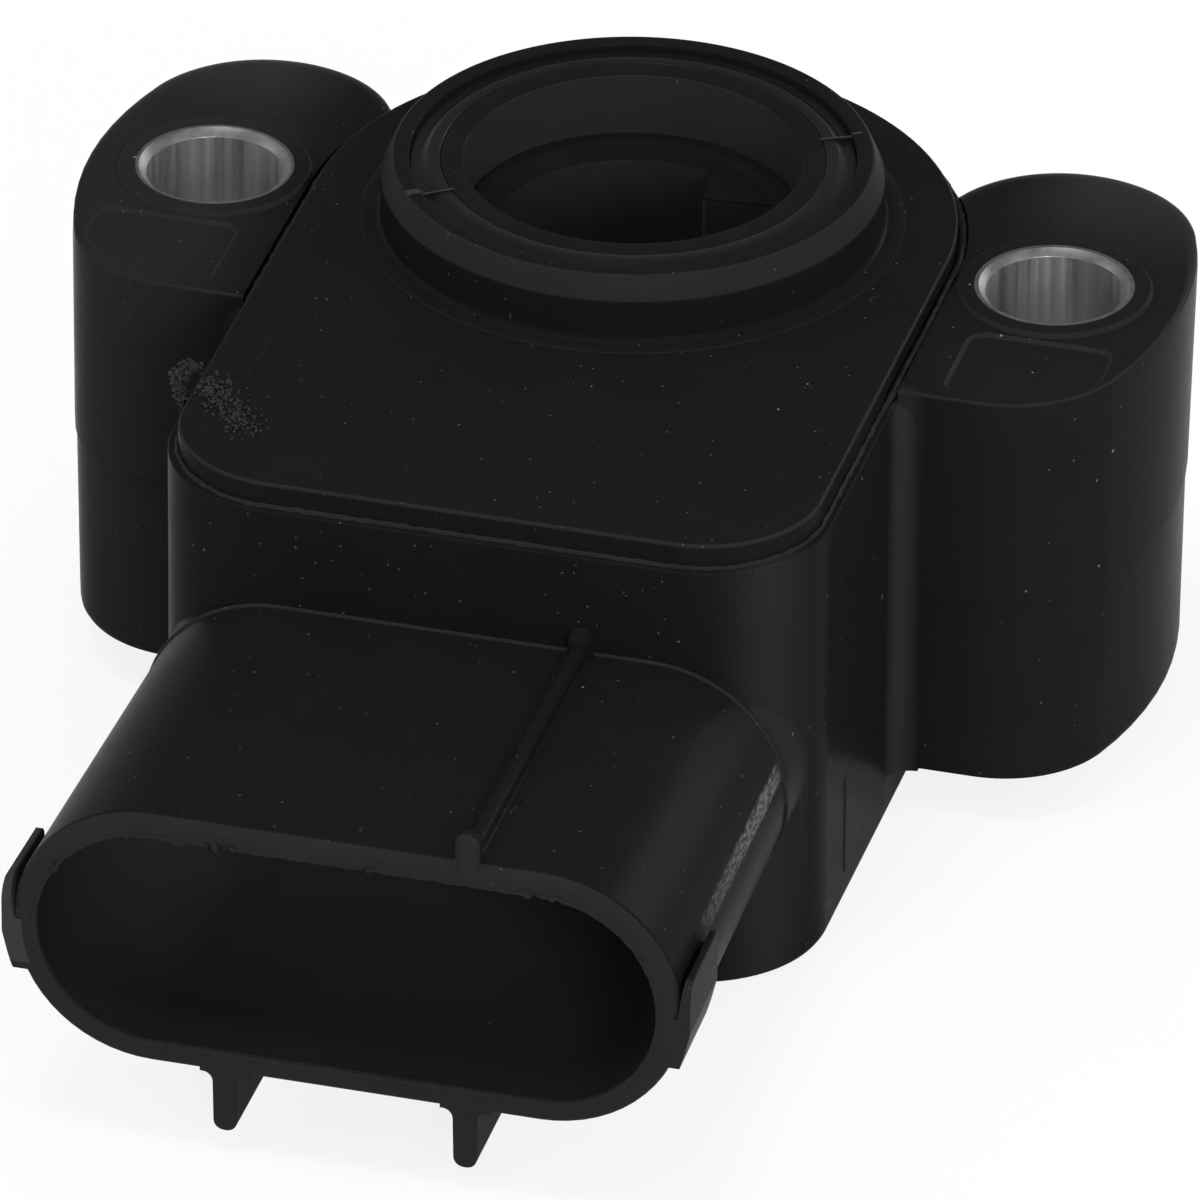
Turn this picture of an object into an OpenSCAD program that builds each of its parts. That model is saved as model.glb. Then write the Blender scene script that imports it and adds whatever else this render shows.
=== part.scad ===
// Throttle position sensor: a black moulded housing with two screw ears and a
// connector shroud, a welded cover with a locating collar, and a sprung drive hub
// whose wiper sweeps a track board.
// Frame: +Z along the hub's axis, out of the collar. The origin is on that axis, at
// the height of the ears' top faces. The screw holes lie on X, the connector faces -Y.

/* [Screw ears] */
// Distance between the two screw holes
hole_spacing = 38; // [36:0.5:41]
// From the hub's axis to the outer tip of an ear
ear_reach = 24.6; // [24.4:0.05:26]
// Front to back size of an ear
ear_depth = 20.7; // [19:0.1:22]
// Radius of an ear's corners
ear_corner_r = 5.5; // [5.2:0.1:6]
// How far an ear's outer side bulges out past its corners
ear_bulge = 0.85; // [0.5:0.05:1.1]
// Height of the ears, from their underside to their top faces
ear_height = 19.15; // [17:0.05:19.8]
// Radius of the raised ring round each sleeve
ear_ring_r = 4.25; // [4.1:0.05:4.6]
// How far the rings and the sleeves' ends stand proud of the ears
ear_ring_rise = 0.2; // [0.1:0.05:0.4]
// Depth of the shallow pocket in front of each sleeve
ear_pocket_depth = 0.15; // [0.05:0.05:0.3]

/* [Sleeves] */
// Bore radius of the metal sleeves
sleeve_bore_r = 3; // [2.6:0.05:3.2]
// Outer radius of the sleeves
sleeve_r = 3.8; // [3.6:0.05:3.95]
// Outer radius of the sleeves' necked ends, which the plastic closes over
sleeve_neck_r = 3.5; // [3.48:0.01:3.58]
// Length of the necked ends
sleeve_neck = 0.6; // [0.4:0.1:1]
// Bore chamfer at the end that was turned first
sleeve_chamfer_a = 0.46; // [0.3:0.02:0.46]
// Bore chamfer at the other end
sleeve_chamfer_b = 0.36; // [0.2:0.02:0.46]

/* [Block] */
// Half width of the block
block_half_w = 14.65; // [14.3:0.05:15]
// From the hub's axis to the block's front wall
block_front = 26.8; // [26:0.1:29]
// Radius of the block's front corners
block_corner_r = 5.7; // [5:0.1:7]
// Depth of the block's underside below the ears' top faces
block_base = 21.2; // [20.8:0.1:22]
// Depth of the block's rim below the ears' top faces
rim_drop = 0.53; // [0.4:0.01:0.7]
// Thickness of the block's side walls
wall = 1.7; // [1.5:0.1:1.9]
// Thickness of the block's floor
floor_t = 3.2; // [2.8:0.1:3.4]
// Radius of the hollow corner between block and ears
ear_fillet_r = 1.2; // [0.8:0.1:1.6]

/* [Cover] */
// How far the cover's edge lies inside the block's outline
cover_inset = 0.45; // [0.3:0.05:0.6]
// Height of the cover's top face above the ears
cover_top = 0.6; // [0.4:0.05:1]
// Depth of the skirt that locates the cover in the block
skirt_depth = 1.4; // [1:0.1:1.8]
// Wall of that skirt
skirt_t = 1.1; // [0.8:0.1:1.4]
// Gap between skirt and block
skirt_gap = 0.15; // [0.1:0.05:0.25]
// Depth of the cut-away along the cover's left edge
edge_step = 0.12; // [0.05:0.01:0.2]

/* [Collar] */
// Locating radius of the collar
collar_r = 11; // [10.8:0.1:11.5]
// Height of the collar's top above the ears
collar_top = 3.7; // [3.4:0.1:4.5]
// Height of the lead-in taper at the collar's top
collar_taper_h = 1.1; // [0.8:0.1:1.4]
// How much the taper takes off the radius
collar_taper_r = 0.5; // [0.3:0.05:0.7]
// Radius of the hollow round the collar's foot
collar_foot_r = 0.9; // [0.6:0.1:1.2]
// Inner radius of the outer lip, which is the seal groove's outer wall
lip_inner_r = 9.75; // [9.6:0.05:9.9]
// Outer radius of the inner ring, which is the seal groove's inner wall
inner_ring_r = 8.4; // [8.2:0.05:8.6]
// Depth of the inner ring's top below the lip
inner_ring_drop = 0.15; // [0:0.05:0.3]
// Depth of the seal groove below the lip
groove_depth = 1.5; // [1.2:0.1:1.8]

/* [Hub] */
// Radius of the hub's neck
neck_r = 7.3; // [7:0.05:7.5]
// Running clearance round the neck and the pin
running_gap = 0.08; // [0.03:0.01:0.1]
// Height of the neck's top above the ears
neck_top = 0.65; // [0.4:0.05:1]
// Radius of the drive socket
socket_r = 6; // [5.6:0.1:6.2]
// Depth of the drive socket
socket_depth = 8.2; // [7:0.1:8.4]
// Width of the chamfer at the socket's mouth
socket_chamfer = 0.65; // [0.4:0.05:0.8]
// Depth of the lugs' tops below the neck's top
lug_drop = 0.3; // [0.1:0.1:1]
// Distance of a lug's corner from the hub's axis
lug_corner = 3.7; // [3:0.1:4.5]
// Direction of the first lug's corner, from +X towards +Y
lug_angle = 50; // [40:1:60]
// Radius of the hub's upper flange
flange_r = 8.6; // [8.2:0.1:9]
// Thickness of the upper flange
flange_t = 1.2; // [0.9:0.1:1.5]
// Radius of the hub's base plate
plate_r = 9.6; // [9.2:0.1:9.9]
// Thickness of the base plate
plate_t = 1.4; // [1.1:0.1:1.6]
// Height of the base plate's top below the ears
plate_top = 11.2; // [10.8:0.1:11.4]
// How far the hub turns
travel_deg = 95; // [80:1:100]

/* [Pivot] */
// Radius of the pivot pin
pin_r = 2; // [1.6:0.1:2.2]
// Wall of the bush in the hub
bush_t = 1.1; // [0.8:0.1:1.3]
// Length of the bush
bush_len = 6; // [5:0.1:6.4]
// Thickness of the thrust washer
washer_t = 0.3; // [0.2:0.05:0.4]
// Radius of the raised seat round the pin
seat_r = 4.1; // [3.8:0.1:4.3]
// Height of that seat above the floor
seat_h = 2; // [1.8:0.1:2.2]

/* [Return spring] */
// Diameter of the spring's wire
wire_d = 0.9; // [0.6:0.05:1]
// Radius of the coils, to the wire's middle
coil_r = 8.45; // [8.4:0.05:8.7]
// Number of whole turns
coil_turns = 5; // [4:1:5]
// Rise of one turn
coil_pitch = 1.35; // [1.2:0.05:1.4]

/* [Track board] */
// Thickness of the board
board_t = 1; // [0.8:0.1:1.2]
// Gap between the board and the walls
board_gap = 0.35; // [0.2:0.05:0.5]
// Radius of the outer track's middle
track_outer_r = 9.8; // [9.6:0.1:9.9]
// Radius of the inner track's middle
track_inner_r = 6.8; // [6.4:0.1:7.2]
// Width of the tracks
track_w = 1.4; // [1:0.1:1.6]
// Thickness of the printed tracks
track_t = 0.05; // [0.02:0.01:0.1]

/* [Wiper] */
// Thickness of the carrier plate
carrier_t = 0.8; // [0.6:0.1:1]
// Thickness of the wiper's sheet
wiper_t = 0.25; // [0.2:0.05:0.3]
// Width of one finger
finger_w = 0.3; // [0.2:0.05:0.35]
// Gap left between the fingertips and the tracks
finger_gap = 0.15; // [0.1:0.05:0.3]

/* [Connector shroud] */
// Half width of the shroud
shroud_half_w = 14.45; // [14:0.05:14.6]
// Outer radius of the shroud's round ends
shroud_r = 6.05; // [5.6:0.05:6.2]
// Depth of the shroud's middle below the ears' top faces
shroud_mid = 11.15; // [11:0.05:11.6]
// Length of the shroud, from the block's front wall
shroud_len = 18.2; // [16:0.1:22]
// Wall of the shroud
shroud_wall = 1.1; // [0.9:0.05:1.3]
// Chamfer inside the mouth
mouth_chamfer = 0.3; // [0.1:0.05:0.5]
// Depth of the socket in the shroud
socket_len = 16.6; // [14:0.1:17]

/* [Shroud ribs and tongues] */
// Distance of the fins and of the key rib from the middle
rib_x = 5.2; // [4.6:0.1:6]
// Thickness of the fins
fin_t = 1.1; // [0.9:0.05:1.4]
// Depth of the fins below the shroud
fin_depth = 2.75; // [2:0.05:3]
// Width of the key rib on the shroud's top
key_w = 0.75; // [0.6:0.05:1]
// Height of the key rib
key_h = 0.55; // [0.4:0.05:0.8]
// Width of the key rib's round ends
knob_w = 1.15; // [1:0.05:1.3]
// Height of the knob at the key rib's front end
knob_h = 1.35; // [1:0.05:1.5]
// Thickness of the latch tongues
tongue_t = 0.6; // [0.55:0.05:0.8]
// How far the tongues stand proud of the shroud's ends
tongue_rise = 0.5; // [0.3:0.05:0.5]
// Half height of the tongues
tongue_half_h = 2.4; // [2.2:0.1:3]
// Length of the tongues
tongue_len = 4.5; // [3:0.1:5]

/* [Terminals] */
// Distance between neighbouring blades
blade_pitch = 6; // [5.5:0.1:6.5]
// Width of the blades
blade_w = 2.8; // [2.2:0.1:3]
// Thickness of the blades
blade_t = 0.8; // [0.6:0.1:0.9]
// How far the blades reach into the shroud's socket
blade_reach = 8; // [7:0.5:9]
// Width of the links between the blades and the board
link_w = 1.6; // [1.2:0.1:1.8]

/* [Hidden] */

$fn = 72;
black = [0.055, 0.055, 0.06];
eps = 0.01;
// Room between a piece and the hole it is moulded or pressed into
seat_gap = 0.02;

hole_x = hole_spacing / 2;
rim_z = -rim_drop;
floor_z = floor_t - block_base;
cavity_half_w = block_half_w - wall;
cavity_front = block_front - wall;
cavity_corner_r = block_corner_r - wall;
shroud_end = block_front + shroud_len;
round_x = shroud_half_w - shroud_r;
shroud_top = shroud_r - shroud_mid;

ear_corner_x = ear_reach - ear_bulge - ear_corner_r;
ear_corner_y = ear_depth / 2 - ear_corner_r;
ear_side_run = (ear_corner_y * ear_corner_y - ear_bulge * ear_bulge) / (2 * ear_bulge);
// The cut-away in the cover's left edge
edge_step_front = 19.5;
edge_step_len = 8.5;
edge_step_w = 2.25;
pocket_half_w = 2.6;
pocket_edge = 0.8;

sleeve_top = ear_ring_rise;
sleeve_bottom = -ear_height - ear_ring_rise;

plate_bottom = -plate_top - plate_t;
board_top = floor_z + board_t;
seat_top = floor_z + seat_h;
bush_bottom = seat_top + washer_t + 0.1;
bush_top = bush_bottom + bush_len;
carrier_bottom = plate_bottom - carrier_t;
wiper_bottom = carrier_bottom - wiper_t;
cover_bore_r = neck_r + running_gap;

// Angles, from +X towards +Y, of the stop lug at rest and of what it meets
stop_rest = 45;
stop_half = 6;
stop_play = 2;
stop_rib_half = 4;
rest_rib_angle = stop_rest - stop_half - stop_play - stop_rib_half;
end_rib_angle = stop_rest + travel_deg + stop_half + stop_play + stop_rib_half;
stop_reach = 12.2;
stop_inner_r = 11.4;
// The carrier's middle at rest, the half angle that it spans, and its rivets' places
carrier_angle = 90;
carrier_half = 34;
rivet_half = 24;
rivet_r = 0.7;
carrier_lip = 1.6;
carrier_inner_r = track_inner_r - carrier_lip;
rivet_place_r = 8.4;
// The width of the wiper's root, which lies under a rivet, and where the fingers leave it
wiper_root_w = 2;
wiper_root = wiper_root_w / 2 - rivet_place_r * sin(rivet_half);
// The spring's ends: where the lower one drops into the plate, where the upper one bears
spring_start = 20;
spring_leg_end = 12;
anchor_half = 4;
anchor_inner_r = 11.4;
anchor_angle = spring_start + 180 + anchor_half + 5;
// The board's pegs
peg_x = 9;
peg_y = -17.5;
peg_r = 0.85;
retainer_r = 2;
retainer_t = 0.4;
// Where the blades turn down into the block, and their inner feet
leg_y = cavity_front - 1.5;
foot_len = 3.4;
foot_end = leg_y - foot_len;
foot_z = board_top + 1.7;
board_front = leg_y - 1;
resin_back = leg_y - 1.2;
resin_half_w = 8.9;
resin_drop = 1.3;

module at_polar(r, a) {
    rotate([0, 0, a]) translate([r, 0, 0]) children();
}

// A block outline with a full round back and two rounded front corners
module tombstone(half_w, front, corner) {
    circle(r = half_w);
    translate([-half_w, corner - front]) square([2 * half_w, front - corner]);
    translate([corner - half_w, -front]) square([2 * (half_w - corner), front]);
    for (side = [-1, 1]) translate([side * (half_w - corner), corner - front]) circle(r = corner);
}

module stadium(half_w, r) {
    translate([r - half_w, -r]) square([2 * (half_w - r), 2 * r]);
    for (side = [-1, 1]) translate([side * (half_w - r), 0]) circle(r = r);
}

// Sweeps an outline drawn in X and Z along Y, from the front value to the back one
module along_y(front, back) {
    translate([0, back, 0]) rotate([90, 0, 0]) linear_extrude(back - front) children();
}

// A sector of a ring, centred on an angle
module sector(inner, outer, half_angle) {
    rotate([0, 0, -half_angle]) intersection() {
        difference() {
            circle(r = outer);
            circle(r = inner);
        }
        polygon([[0, 0], [3 * outer, 0], [3 * outer * cos(half_angle), 3 * outer * sin(half_angle)],
            [3 * outer * cos(2 * half_angle), 3 * outer * sin(2 * half_angle)]]);
    }
}

// Two corner arcs joined by a slack arc that is tangent to both
module ear_outline(side) {
    scale([side, 1]) {
        translate([ear_corner_x - ear_side_run, 0]) intersection() {
            circle(r = ear_side_run + ear_corner_r + ear_bulge);
            polygon([[0, 0], [2 * ear_side_run, -2 * ear_corner_y], [2 * ear_side_run, 2 * ear_corner_y]]);
        }
        for (end = [-1, 1]) translate([ear_corner_x, end * ear_corner_y]) circle(r = ear_corner_r);
        translate([0, -ear_depth / 2]) square([ear_corner_x, ear_depth / 2]);
    }
}

module ear_pocket(side) {
    reach = pocket_half_w + ear_corner_r;
    back = ear_ring_r + 0.2;
    translate([side * hole_x, 0, -ear_pocket_depth]) linear_extrude(1) intersection() {
        translate([side > 0 ? -pocket_half_w : -reach, pocket_edge - ear_depth / 2])
            square([pocket_half_w + reach, ear_depth / 2 - pocket_edge - back]);
        translate([side * (ear_corner_x - hole_x), -ear_corner_y])
            circle(r = ear_corner_r - pocket_edge + 0.2);
    }
}

// The hollow corner between the block's side and an ear's front wall
module ear_fillet(side) {
    x = block_half_w;
    y = -ear_depth / 2;
    scale([side, 1, 1]) translate([x, y, -ear_height])
        linear_extrude(ear_height - rim_drop) difference() {
            translate([-0.5, -ear_fillet_r]) square([ear_fillet_r + 0.5, ear_fillet_r + 0.5]);
            translate([ear_fillet_r, -ear_fillet_r]) circle(r = ear_fillet_r);
        }
}

module sleeve_hole(side) {
    translate([side * hole_x, 0, 0]) {
        translate([0, 0, sleeve_bottom - 1])
            cylinder(r = sleeve_neck_r + seat_gap, h = sleeve_top - sleeve_bottom + 2);
        translate([0, 0, sleeve_bottom + sleeve_neck])
            cylinder(r = sleeve_r + seat_gap, h = sleeve_top - sleeve_bottom - 2 * sleeve_neck);
    }
}

// A tongue's section at the round end's centre: curved below, a flat lip above
module tongue_section() {
    reach = shroud_r + tongue_rise;
    intersection() {
        circle(r = reach);
        translate([0, -tongue_half_h]) square([reach + 1, tongue_half_h]);
    }
    translate([reach - tongue_t, -eps]) square([tongue_t, tongue_half_h + eps]);
}

module shroud_outside() {
    root = block_corner_r - block_front;
    translate([0, 0, -shroud_mid]) {
        along_y(-shroud_end, root) stadium(shroud_half_w, shroud_r);
        along_y(-shroud_end, root) for (side = [-1, 1]) translate([side * rib_x, 0]) {
            translate([-fin_t / 2, -shroud_r - fin_depth + fin_t / 2])
                square([fin_t, fin_depth + shroud_wall / 2 - fin_t / 2]);
            translate([0, -shroud_r - fin_depth + fin_t / 2]) circle(d = fin_t);
        }
        along_y(-shroud_end, -shroud_end + tongue_len)
            for (side = [-1, 1]) scale([side, 1]) translate([round_x, 0]) tongue_section();
    }
    key_rib();
}

module key_rib() {
    translate([rib_x, 0, shroud_top]) {
        along_y(-shroud_end + knob_w / 2, -block_front + wall / 2) {
            translate([-key_w / 2, -shroud_wall / 2]) square([key_w, key_h + shroud_wall / 2 - key_w / 2]);
            translate([0, key_h - key_w / 2]) circle(d = key_w);
        }
        for (y = [-shroud_end + knob_w / 2, -block_front]) {
            translate([0, y, -shroud_wall / 2])
                cylinder(d = knob_w, h = knob_h + (shroud_wall - knob_w) / 2);
            translate([0, y, knob_h - knob_w / 2]) sphere(d = knob_w);
        }
    }
}

module shroud_inside() {
    back = -shroud_end + socket_len;
    translate([0, 0, -shroud_mid]) {
        along_y(-shroud_end - 1, back) stadium(shroud_half_w - shroud_wall, shroud_r - shroud_wall);
        along_y(-shroud_end - 1, -shroud_end + mouth_chamfer)
            stadium(shroud_half_w - shroud_wall + mouth_chamfer, shroud_r - shroud_wall + mouth_chamfer);
    }
}

// The gap in the front wall that a blade passes through
module blade_slots() {
    for (i = [-1, 0, 1])
        translate([i * blade_pitch, -cavity_front - 2, -shroud_mid])
            cube([blade_w + 2 * seat_gap, 8, blade_t + 2 * seat_gap], center = true);
}

module stop_ribs() {
    for (a = [rest_rib_angle, end_rib_angle])
        translate([0, 0, floor_z - eps]) rotate([0, 0, a]) linear_extrude(1 - plate_top - floor_z)
            sector(stop_inner_r, block_half_w - wall / 2, stop_rib_half);
}

module spring_anchor() {
    translate([0, 0, floor_z - eps]) rotate([0, 0, anchor_angle])
        linear_extrude(rim_z - skirt_depth - 0.4 - floor_z)
            sector(anchor_inner_r, block_half_w - wall / 2, anchor_half);
}

module housing() {
    color(black) difference() {
        union() {
            translate([0, 0, -block_base]) linear_extrude(block_base - rim_drop)
                tombstone(block_half_w, block_front, block_corner_r);
            for (side = [-1, 1]) {
                difference() {
                    translate([0, 0, -ear_height]) linear_extrude(ear_height) ear_outline(side);
                    translate([0, 0, rim_z]) linear_extrude(1)
                        tombstone(block_half_w, block_front, block_corner_r);
                    ear_pocket(side);
                }
                for (z = [sleeve_bottom, -1])
                    translate([side * hole_x, 0, z]) cylinder(r = ear_ring_r, h = 1 + ear_ring_rise);
                ear_fillet(side);
            }
            shroud_outside();
        }
        difference() {
            translate([0, 0, floor_z]) linear_extrude(block_base)
                tombstone(cavity_half_w, cavity_front, cavity_corner_r);
            translate([0, 0, floor_z - 1]) cylinder(r = seat_r, h = seat_h + 1);
            stop_ribs();
            spring_anchor();
            for (side = [-1, 1]) translate([side * peg_x, peg_y, floor_z - 1])
                cylinder(r = peg_r, h = board_t + 2.1);
        }
        translate([0, 0, floor_z - floor_t / 2]) cylinder(r = pin_r + seat_gap, h = floor_t + seat_h);
        for (side = [-1, 1]) sleeve_hole(side);
        shroud_inside();
        blade_slots();
    }
}

// Half section of the cover's collar, from its bore outwards
function foot_arc(steps) = [for (i = [0:steps]) let (a = 90 * i / steps)
    [collar_r + collar_foot_r * (1 - sin(a)), cover_top + collar_foot_r * (1 - cos(a))]];

module cover_collar() {
    rotate_extrude() polygon(concat(
        [[cover_bore_r, rim_z], [collar_r + collar_foot_r, rim_z]],
        foot_arc(6),
        [[collar_r, collar_top - collar_taper_h], [collar_r - collar_taper_r, collar_top],
        [lip_inner_r, collar_top], [lip_inner_r, collar_top - groove_depth],
        [inner_ring_r, collar_top - groove_depth], [inner_ring_r, collar_top - inner_ring_drop],
        [cover_bore_r, collar_top - inner_ring_drop]]));
}

module cover() {
    edge = block_half_w - cover_inset;
    skirt = cavity_half_w - skirt_gap;
    color(black) {
        difference() {
            union() {
                translate([0, 0, rim_z]) linear_extrude(cover_top - rim_z)
                    tombstone(edge, block_front - cover_inset, block_corner_r - cover_inset);
                translate([0, 0, rim_z - skirt_depth]) linear_extrude(skirt_depth + eps) difference() {
                    tombstone(skirt, cavity_front - skirt_gap, cavity_corner_r - skirt_gap);
                    tombstone(skirt - skirt_t, cavity_front - skirt_gap - skirt_t,
                        cavity_corner_r - skirt_gap - skirt_t);
                }
            }
            translate([0, 0, rim_z - 1]) cylinder(r = collar_r - 0.5, h = cover_top - rim_z + 2);
            translate([-edge - 1, -edge_step_front, cover_top - edge_step])
                cube([1 + edge_step_w, edge_step_len, 1]);
        }
        cover_collar();
    }
}

// The sealing ring between the collar's lip and its inner ring
module collar_seal() {
    bottom = collar_top - groove_depth;
    top = collar_top - 0.35;
    color([0.04, 0.04, 0.045]) {
        rotate_extrude() polygon([[inner_ring_r + seat_gap, bottom], [lip_inner_r - seat_gap, bottom],
            [lip_inner_r - seat_gap, collar_top - 0.85], [lip_inner_r - 0.4, collar_top - 0.85],
            [inner_ring_r + 0.25, top], [inner_ring_r + seat_gap, top]]);
    }
}

module sleeve(top_chamfer, bottom_chamfer) {
    z0 = sleeve_bottom;
    z1 = sleeve_top;
    color([0.78, 0.79, 0.8]) rotate_extrude() polygon([
        [sleeve_bore_r, z0 + bottom_chamfer], [sleeve_bore_r + bottom_chamfer, z0], [sleeve_neck_r, z0],
        [sleeve_neck_r, z0 + sleeve_neck], [sleeve_r, z0 + sleeve_neck], [sleeve_r, z1 - sleeve_neck],
        [sleeve_neck_r, z1 - sleeve_neck], [sleeve_neck_r, z1], [sleeve_bore_r + top_chamfer, z1],
        [sleeve_bore_r, z1 - top_chamfer]]);
}

module sleeve_left() {
    translate([-hole_x, 0, 0]) sleeve(sleeve_chamfer_a, sleeve_chamfer_b);
}

module sleeve_right() {
    translate([hole_x, 0, 0]) sleeve(sleeve_chamfer_b, sleeve_chamfer_a);
}

// A drive lug: a square corner that points at the hub's axis
module drive_lug(a) {
    lug_top = neck_top - lug_drop;
    translate([0, 0, neck_top - socket_depth - 1]) linear_extrude(lug_top - neck_top + socket_depth + 1)
        intersection() {
            circle(r = socket_r + 0.3);
            rotate(a) translate([lug_corner, 0]) rotate(-45) square(10);
        }
}

module rotor() {
    lower = plate_bottom;
    color(black) {
        difference() {
            union() {
                translate([0, 0, lower]) cylinder(r = neck_r, h = neck_top - lower);
                translate([0, 0, rim_z - 0.45 - flange_t]) cylinder(r = flange_r, h = flange_t);
                translate([0, 0, lower]) cylinder(r = plate_r, h = plate_t);
                translate([0, 0, bush_bottom])
                    cylinder(r = pin_r + bush_t + 1.2, h = lower - bush_bottom + 1);
                translate([0, 0, lower]) rotate([0, 0, stop_rest]) linear_extrude(plate_t)
                    sector(plate_r - 1, stop_reach, stop_half);
                for (a = [-rivet_half, rivet_half]) at_polar(rivet_place_r, carrier_angle + a)
                    translate([0, 0, carrier_bottom - 0.3]) cylinder(r = rivet_r, h = carrier_t + 1);
            }
            difference() {
                translate([0, 0, neck_top - socket_depth]) cylinder(r = socket_r, h = socket_depth + 1);
                for (a = [lug_angle, lug_angle + 180]) drive_lug(a);
            }
            translate([0, 0, neck_top - socket_chamfer])
                cylinder(r1 = socket_r, r2 = socket_r + socket_chamfer, h = socket_chamfer);
            translate([0, 0, neck_top - eps]) cylinder(r = socket_r + socket_chamfer, h = 1);
            translate([0, 0, bush_bottom - 1])
                cylinder(r = pin_r + bush_t + running_gap / 2, h = bush_len + 1);
            translate([0, 0, bush_top - eps]) cylinder(r = pin_r, h = 0.5);
            at_polar(coil_r, spring_start) translate([0, 0, lower - 1])
                cylinder(d = wire_d + 0.3, h = plate_t + 2);
        }
    }
}

module rotor_bush() {
    color([0.72, 0.5, 0.25]) translate([0, 0, bush_bottom]) difference() {
        cylinder(r = pin_r + bush_t, h = bush_len);
        translate([0, 0, -1]) cylinder(r = pin_r + running_gap / 2, h = bush_len + 2);
    }
}

module pivot_pin() {
    low = floor_z - floor_t / 2;
    color([0.7, 0.71, 0.73]) translate([0, 0, low]) {
        cylinder(r = pin_r, h = bush_top - 0.3 - low - 0.3);
        translate([0, 0, bush_top - 0.6 - low]) cylinder(r1 = pin_r, r2 = pin_r - 0.3, h = 0.3);
    }
}

module thrust_washer() {
    color([0.82, 0.8, 0.74]) translate([0, 0, seat_top]) difference() {
        cylinder(r = seat_r - 0.3, h = washer_t);
        translate([0, 0, -1]) cylinder(r = pin_r + 0.1, h = washer_t + 2);
    }
}

// The spring's middle line: down into the plate, round the hub, then out to its anchor
spring_low = -plate_top + wire_d / 2 + 0.35;
spring_steps = 24;
spring_path = concat(
    [for (z = [-plate_top - plate_t + 0.2, -plate_top + 0.25])
        [coil_r * cos(spring_start), coil_r * sin(spring_start), z]],
    [for (i = [1:coil_turns * spring_steps + spring_steps / 2])
        let (a = spring_start - 360 * i / spring_steps)
        [coil_r * cos(a), coil_r * sin(a), spring_low + coil_pitch * i / spring_steps]],
    [for (t = [0.5, 1]) let (a = spring_start + 180, r = coil_r + t * (spring_leg_end - coil_r))
        [r * cos(a), r * sin(a), spring_low + coil_pitch * (coil_turns + 0.5)]]);

function unit(v) = v / norm(v);
function path_dir(p, i) = unit(p[min(i + 1, len(p) - 1)] - p[max(i - 1, 0)]);

// A round wire along a path, as rings of points joined side by side
module wire(path, d, sides) {
    n = len(path);
    side_dir = [-sin(spring_start), cos(spring_start), 0];
    points = [for (i = [0:n - 1])
        let (t = path_dir(path, i),
            u = unit(cross(t, abs(t[2]) > 0.9 ? side_dir : [0, 0, 1])), v = cross(t, u))
        for (k = [0:sides - 1]) path[i] + (u * cos(360 * k / sides) + v * sin(360 * k / sides)) * d / 2];
    faces = concat(
        [[for (k = [0:sides - 1]) k]],
        [for (i = [0:n - 2], k = [0:sides - 1]) let (m = (k + 1) % sides)
            [i * sides + k, (i + 1) * sides + k, (i + 1) * sides + m, i * sides + m]],
        [[for (k = [sides - 1:-1:0]) (n - 1) * sides + k]]);
    polyhedron(points, faces);
}

module return_spring() {
    color([0.55, 0.56, 0.58]) wire(spring_path, wire_d, 8);
}

module wiper_carrier() {
    color([0.75, 0.72, 0.6]) translate([0, 0, carrier_bottom]) difference() {
        rotate([0, 0, carrier_angle]) linear_extrude(carrier_t)
            sector(carrier_inner_r, track_outer_r + track_w / 2, carrier_half);
        for (a = [-rivet_half, rivet_half]) at_polar(rivet_place_r, carrier_angle + a)
            translate([0, 0, -1]) cylinder(r = rivet_r + seat_gap, h = carrier_t + 2);
    }
}

// One sprung finger at a radial place, running round from the wiper's root down to its track
module finger(r) {
    tip = board_top + track_t + finger_gap - wiper_bottom;
    bend = 0.8;
    length = 4.2;
    toe = 0.5;
    translate([r - finger_w / 2, wiper_root, wiper_bottom]) rotate([90, 0, 90]) linear_extrude(finger_w)
        polygon([[-eps, 0], [-eps, wiper_t], [bend + wiper_t, wiper_t], [length, tip + wiper_t + 0.35],
            [length + toe, tip + wiper_t], [length + 2 * toe, tip + wiper_t + 0.25],
            [length + 2 * toe, tip + 0.25], [length + toe, tip], [length, tip + 0.2], [bend, 0]]);
}

module wiper() {
    low = track_inner_r - track_w / 2;
    color([0.8, 0.68, 0.42]) rotate([0, 0, carrier_angle]) {
        difference() {
            translate([low, wiper_root - wiper_root_w, wiper_bottom])
                cube([track_outer_r + track_w / 2 - 0.3 - low, wiper_root_w, wiper_t]);
            at_polar(rivet_place_r, -rivet_half) translate([0, 0, wiper_bottom - 1])
                cylinder(r = rivet_r + seat_gap, h = 2);
        }
        for (track = [track_inner_r, track_outer_r], i = [-1, 0, 1])
            finger(track + i * (finger_w + 0.12));
    }
}

module board_outline() {
    intersection() {
        union() {
            circle(r = cavity_half_w - board_gap);
            translate([-cavity_half_w + 2.4, -board_front]) square([2 * cavity_half_w - 4.8, board_front - 6]);
        }
        tombstone(cavity_half_w - board_gap, board_front, 2);
    }
}

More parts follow.
